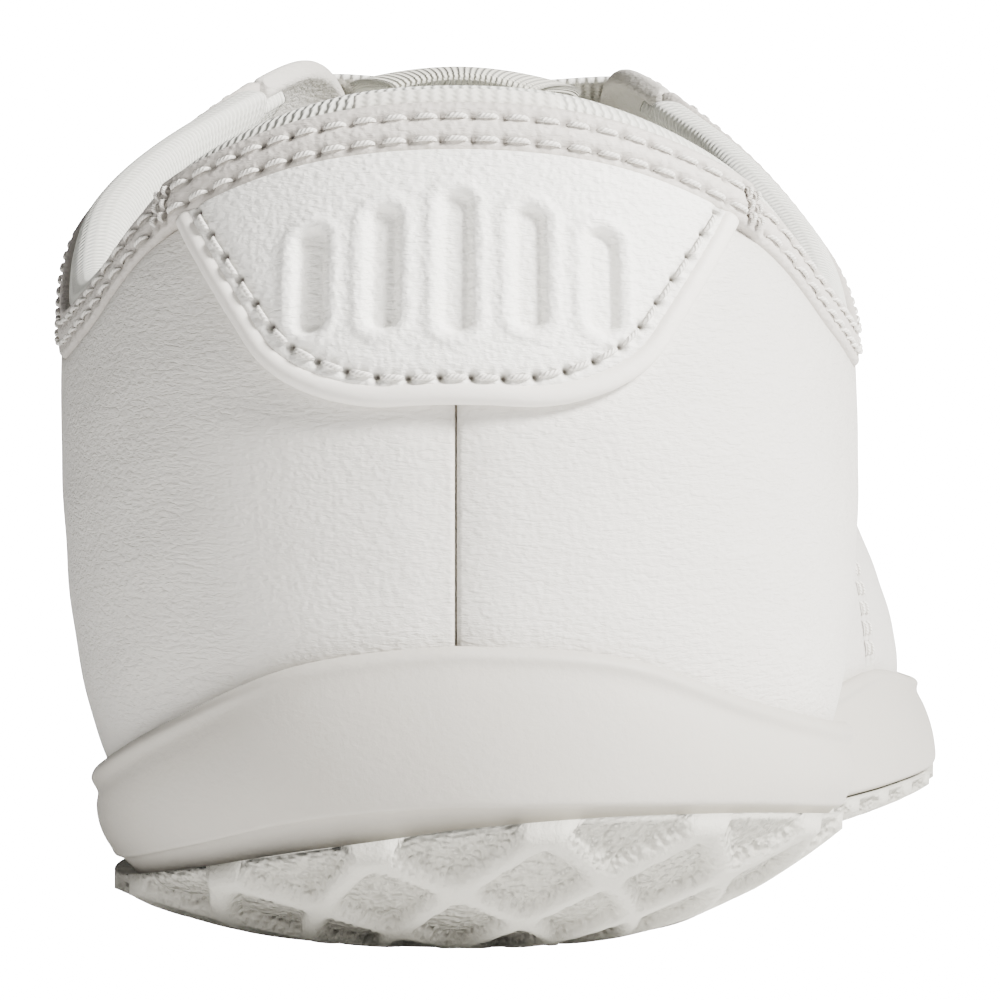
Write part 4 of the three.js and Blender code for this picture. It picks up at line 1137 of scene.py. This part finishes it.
# %% Sole wall
def sole_wall():
    """The wall's profile as a smooth curve: inner face, lip, hollow neck, swelling side, foot."""
    a, s = even_positions(1.2)
    ground = spring(outline(a)[:, 1])
    top = by_side(WALL_TOP_OUTER, WALL_TOP_INNER, a) + ground
    base = edge_height(a) + 1.8 + ground
    line = lambda z, d: last(a, depth_at(a, z), d)
    inset = foot_inset(a)
    lift = lambda inner: 1.8 + 2.1 * inner
    out = np.pad(outward(a), ((0, 0), (0, 1)))
    neck = line(top - 1.5, -2.2)
    foot = np.concatenate([outline(a), (base + 0.7)[:, None]], -1) - inset[:, None] * out
    sides = [neck + (foot - neck) * t + 2.2 * t * (1 - t) * out for t in (0.2, 0.4, 0.6, 0.8)]
    knots = np.stack([
        line(top - 3.0, -0.05), line(top - 0.6, -0.05), line(top - 0.05, -0.75),
        line(top + 0.05, -1.45), line(top - 0.5, -2.15), neck] + sides + [
        foot, foot - 0.35 * out - [0, 0, 0.6], foot - 1.1 * out - [0, 0, 0.95],
        underside(a, np.maximum(inset + 2.4, 2.0), lift)])
    count = len(knots) - 1
    place = np.linspace(0, count, 66)
    k = np.minimum(place.astype(int), count - 1)
    pick = [knots[np.clip(k + i, 0, count)] for i in (-1, 0, 1, 2)]
    profile = through(*pick, (place - k)[:, None, None])
    floor_edge = line(ground + FLOOR + 0.1, -0.05)
    under = underside(a, at_station(EDGE_ROUNDING, a), lift)
    rows = [to_spine(floor_edge, 1.0), to_spine(floor_edge, 0.5), floor_edge] + list(profile)
    rows += [under, to_spine(under, 0.5), to_spine(under, 1.0)]
    v = np.arange(len(rows))[None, :] + 0.0 * s[:, None]
    flat = np.stack([s[:, None] + 0 * v, v], -1)
    return welded(closed_ring("sole_wall", rows, flat, {"sunk": 0 * v}))

add_piece(sole_wall(), stands_for=["midsole_cup"], finish=wall_rubber)

# %% Tread
def lattice(x, y, half_wide):
    """1 on the ribs and 0 in the cells: two families of slanting lines, x + y and x - y."""
    first = np.abs((x + y) % 1.0 - 0.5)
    second = np.abs((x - y) % 1.0 - 0.5)
    near = -np.log(np.exp(-first / 0.045) + np.exp(-second / 0.045)) * 0.045
    return 1 - smooth(half_wide, half_wide + 0.09, near)

def tread():
    """Rings from the spine out to the edge and back over the top. Cells sink 1.2 mm."""
    a, s = even_positions(0.6)
    wide = at_station(EDGE_ROUNDING, a)
    rows, sunk = [], []
    shares = np.linspace(0, 1, 34) ** 1.15
    first = foot_inset(a) + 0.3
    e_rows = [first + (wide - first) * share for share in shares]
    run = 0 * a
    before = None
    rounded = []
    for e in e_rows:
        p = underside(a, e, lambda inner: 0 * inner)
        run = run if before is None else run + np.linalg.norm(p - before, axis=-1)
        before = p
        rib = lattice(s / CELL, run / CELL_RISE, 0.07)
        border = smooth(wide - 1.6, wide - 0.9, e) * smooth(6.0, 9.0, wide + 0 * e)
        rib = np.maximum(rib, border)
        away = unit(p - np.concatenate([p[:, :2] - 3 * outward(a), (p[:, 2] + 3)[:, None]], -1))
        sink = 1.2 * (1 - rib)
        rounded.append(p - away * sink[:, None])
        sunk.append(1 - rib)
    flat_rows = []
    for share in np.linspace(1, 0, 30)[:-1]:
        p = to_spine(underside(a, wide, lambda inner: 0 * inner), share)
        rib = lattice(p[:, 0] / 13.0, p[:, 1] / 15.0, 0.085)
        edge_rib = smooth(0.06, 0.02, share + 0 * a)
        rib = np.maximum(rib, edge_rib)
        lifted = p.copy()
        lifted[:, 2] += 1.2 * (1 - rib)
        flat_rows.append((lifted, 1 - rib))
    top_edge = underside(a, first, lambda inner: 1.5 + 2.1 * inner)
    top_middle = underside(a, wide, lambda inner: 1.5 + 2.1 * inner)
    rows = [p for p, _ in flat_rows] + rounded[::-1]
    marks = [m for _, m in flat_rows] + sunk[::-1]
    rows += [top_edge, top_middle, to_spine(top_middle, 0.5), to_spine(top_middle, 1.0)]
    marks += [0 * a] * 4
    v = np.arange(len(rows))[None, :] + 0.0 * s[:, None]
    flat = np.stack([s[:, None] + 0 * v, v], -1)
    return welded(closed_ring("tread", rows, flat, {"sunk": np.stack(marks, 1)}))

add_piece(tread(), stands_for=["outsole_tread"], finish=tread_rubber)

# %% Sock liner
def sock_liner():
    """A soft insole: its edge turns up a little against the lining, and its middle is flat."""
    a, s = even_positions(2.0)
    ground = FLOOR + spring(outline(a)[:, 1])
    def ring(margin, z):
        return last(a, depth_at(a, ground + z), margin)
    low = ring(5.4, 1.7)
    high = ring(8.0, 5.0)
    knots = [low, ring(4.3, 2.6), ring(4.1, 4.4), ring(4.4, 5.6), ring(5.5, 5.5), high]
    rows = [to_spine(low, 1.0), to_spine(low, 0.5)] + knots
    rows += [to_spine(high, share) for share in (0.15, 0.35, 0.55, 0.8, 1.0)]
    v = np.arange(len(rows))[None, :] * 3.0 + 0.0 * s[:, None]
    return welded(closed_ring("sock_liner_pad", rows, np.stack([s[:, None] + 0 * v, v], -1)))

liner = add_piece(sock_liner(), stands_for=["sock_liner"],
                  finish=lining_knit)
smoother = liner.modifiers.new("soft", "SUBSURF")
smoother.levels = 1
smoother.render_levels = 1

# %% Stitching
print("stitch rows", len(sewn))
add_piece(thread_mesh(sewn), finish=thread)

# %% [markdown]
# ## Hidden structure
# The heel counter, the toe puff and the insole board stay as the frame made them. They lie
# between the layers, so they only need the look of pressed fibre board.

# %% Board
def make_board():
    """Pressed fibre board: short brown and straw specks."""
    made, tree, shader = new_material("fibre_board")
    even = stretched(tree, (1000, 1000, 1000))
    fibre = noise(tree, even, 1.2, 4.0, 0.7)
    speckled = blend_colour(tree, fibre, colour((176, 158, 124)), colour((216, 202, 172)))
    tree.links.new(speckled, shader.inputs["Base Color"])
    shader.inputs["Roughness"].default_value = 0.85
    bump(tree, shader, fibre, 0.1)
    return made

board = make_board()
for name in ("heel_counter", "toe_puff", "insole_board"):
    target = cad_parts[name]
    target.data.materials.clear()
    target.data.materials.append(board)

# %% [markdown]
# ## Studio
# A white sweep, a large soft key light from the right and a weak fill. The left side stays in
# soft shade, and the shadow under the sole is faint. The floor and the world look brighter to the
# camera than they light the shoe, as an overlit backdrop does.

# %% Floor, world and lights
def make_stage(floor_glow, floor_bounce, world_seen, world_light):
    """A square floor and an even sky. Each glows for the camera and far less for the shoe."""
    half = 3.0
    mesh = bpy.data.meshes.new("floor")
    mesh.from_pydata([(-half, -half, 0), (half, -half, 0), (half, half, 0), (-half, half, 0)], [],
                     [(0, 1, 2, 3)])
    floor = bpy.data.objects.new("floor", mesh)
    bpy.context.scene.collection.objects.link(floor)
    made, tree, shader = new_material("floor_paper")
    slow = noise(tree, node(tree, "TexCoord").outputs["Object"], 3.0)
    paper = blend_colour(tree, slow, colour((243, 243, 243)), colour((247, 247, 247)))
    tree.links.new(paper, shader.inputs["Base Color"])
    shader.inputs["Roughness"].default_value = 0.9
    seen = node(tree, "LightPath").outputs["Is Camera Ray"]
    shader.inputs["Emission Color"].default_value = (1, 1, 1, 1)
    glow = maths(tree, "MULTIPLY_ADD", seen, floor_glow, floor_bounce)
    tree.links.new(glow, shader.inputs["Emission Strength"])
    mesh.materials.append(made)
    floor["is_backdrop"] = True
    world = bpy.data.worlds.new("studio")
    world.use_nodes = True
    tree = world.node_tree
    seen = node(tree, "LightPath").outputs["Is Camera Ray"]
    strength = maths(tree, "MULTIPLY_ADD", seen, world_seen - world_light, world_light)
    back = tree.nodes["Background"]
    back.inputs["Color"].default_value = (1.0, 0.995, 0.985, 1)
    tree.links.new(strength, back.inputs["Strength"])
    bpy.context.scene.world = world

def area_light(name, place, size, power, warmth=(1, 0.98, 0.95)):
    """A square soft light aimed at the heel."""
    data = bpy.data.lights.new(name, "AREA")
    data.energy = power
    data.size = size
    data.color = warmth
    light = bpy.data.objects.new(name, data)
    light.location = place
    aim = Vector((0.0, -0.1, 0.04)) - light.location
    light.rotation_euler = aim.to_track_quat("-Z", "Y").to_euler()
    bpy.context.scene.collection.objects.link(light)

make_stage(floor_glow=22.0, floor_bounce=0.06, world_seen=24.0, world_light=0.10)
area_light("key_light", (0.76, -0.56, 0.72), 0.26, 62.0)
area_light("fill_light", (-0.9, -0.6, 0.35), 0.6, 0.4, (0.97, 0.98, 1.0))

# %% Sizes
low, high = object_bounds()
print("visual box in mm", [round(v / MM, 1) for v in low], [round(v / MM, 1) for v in high])
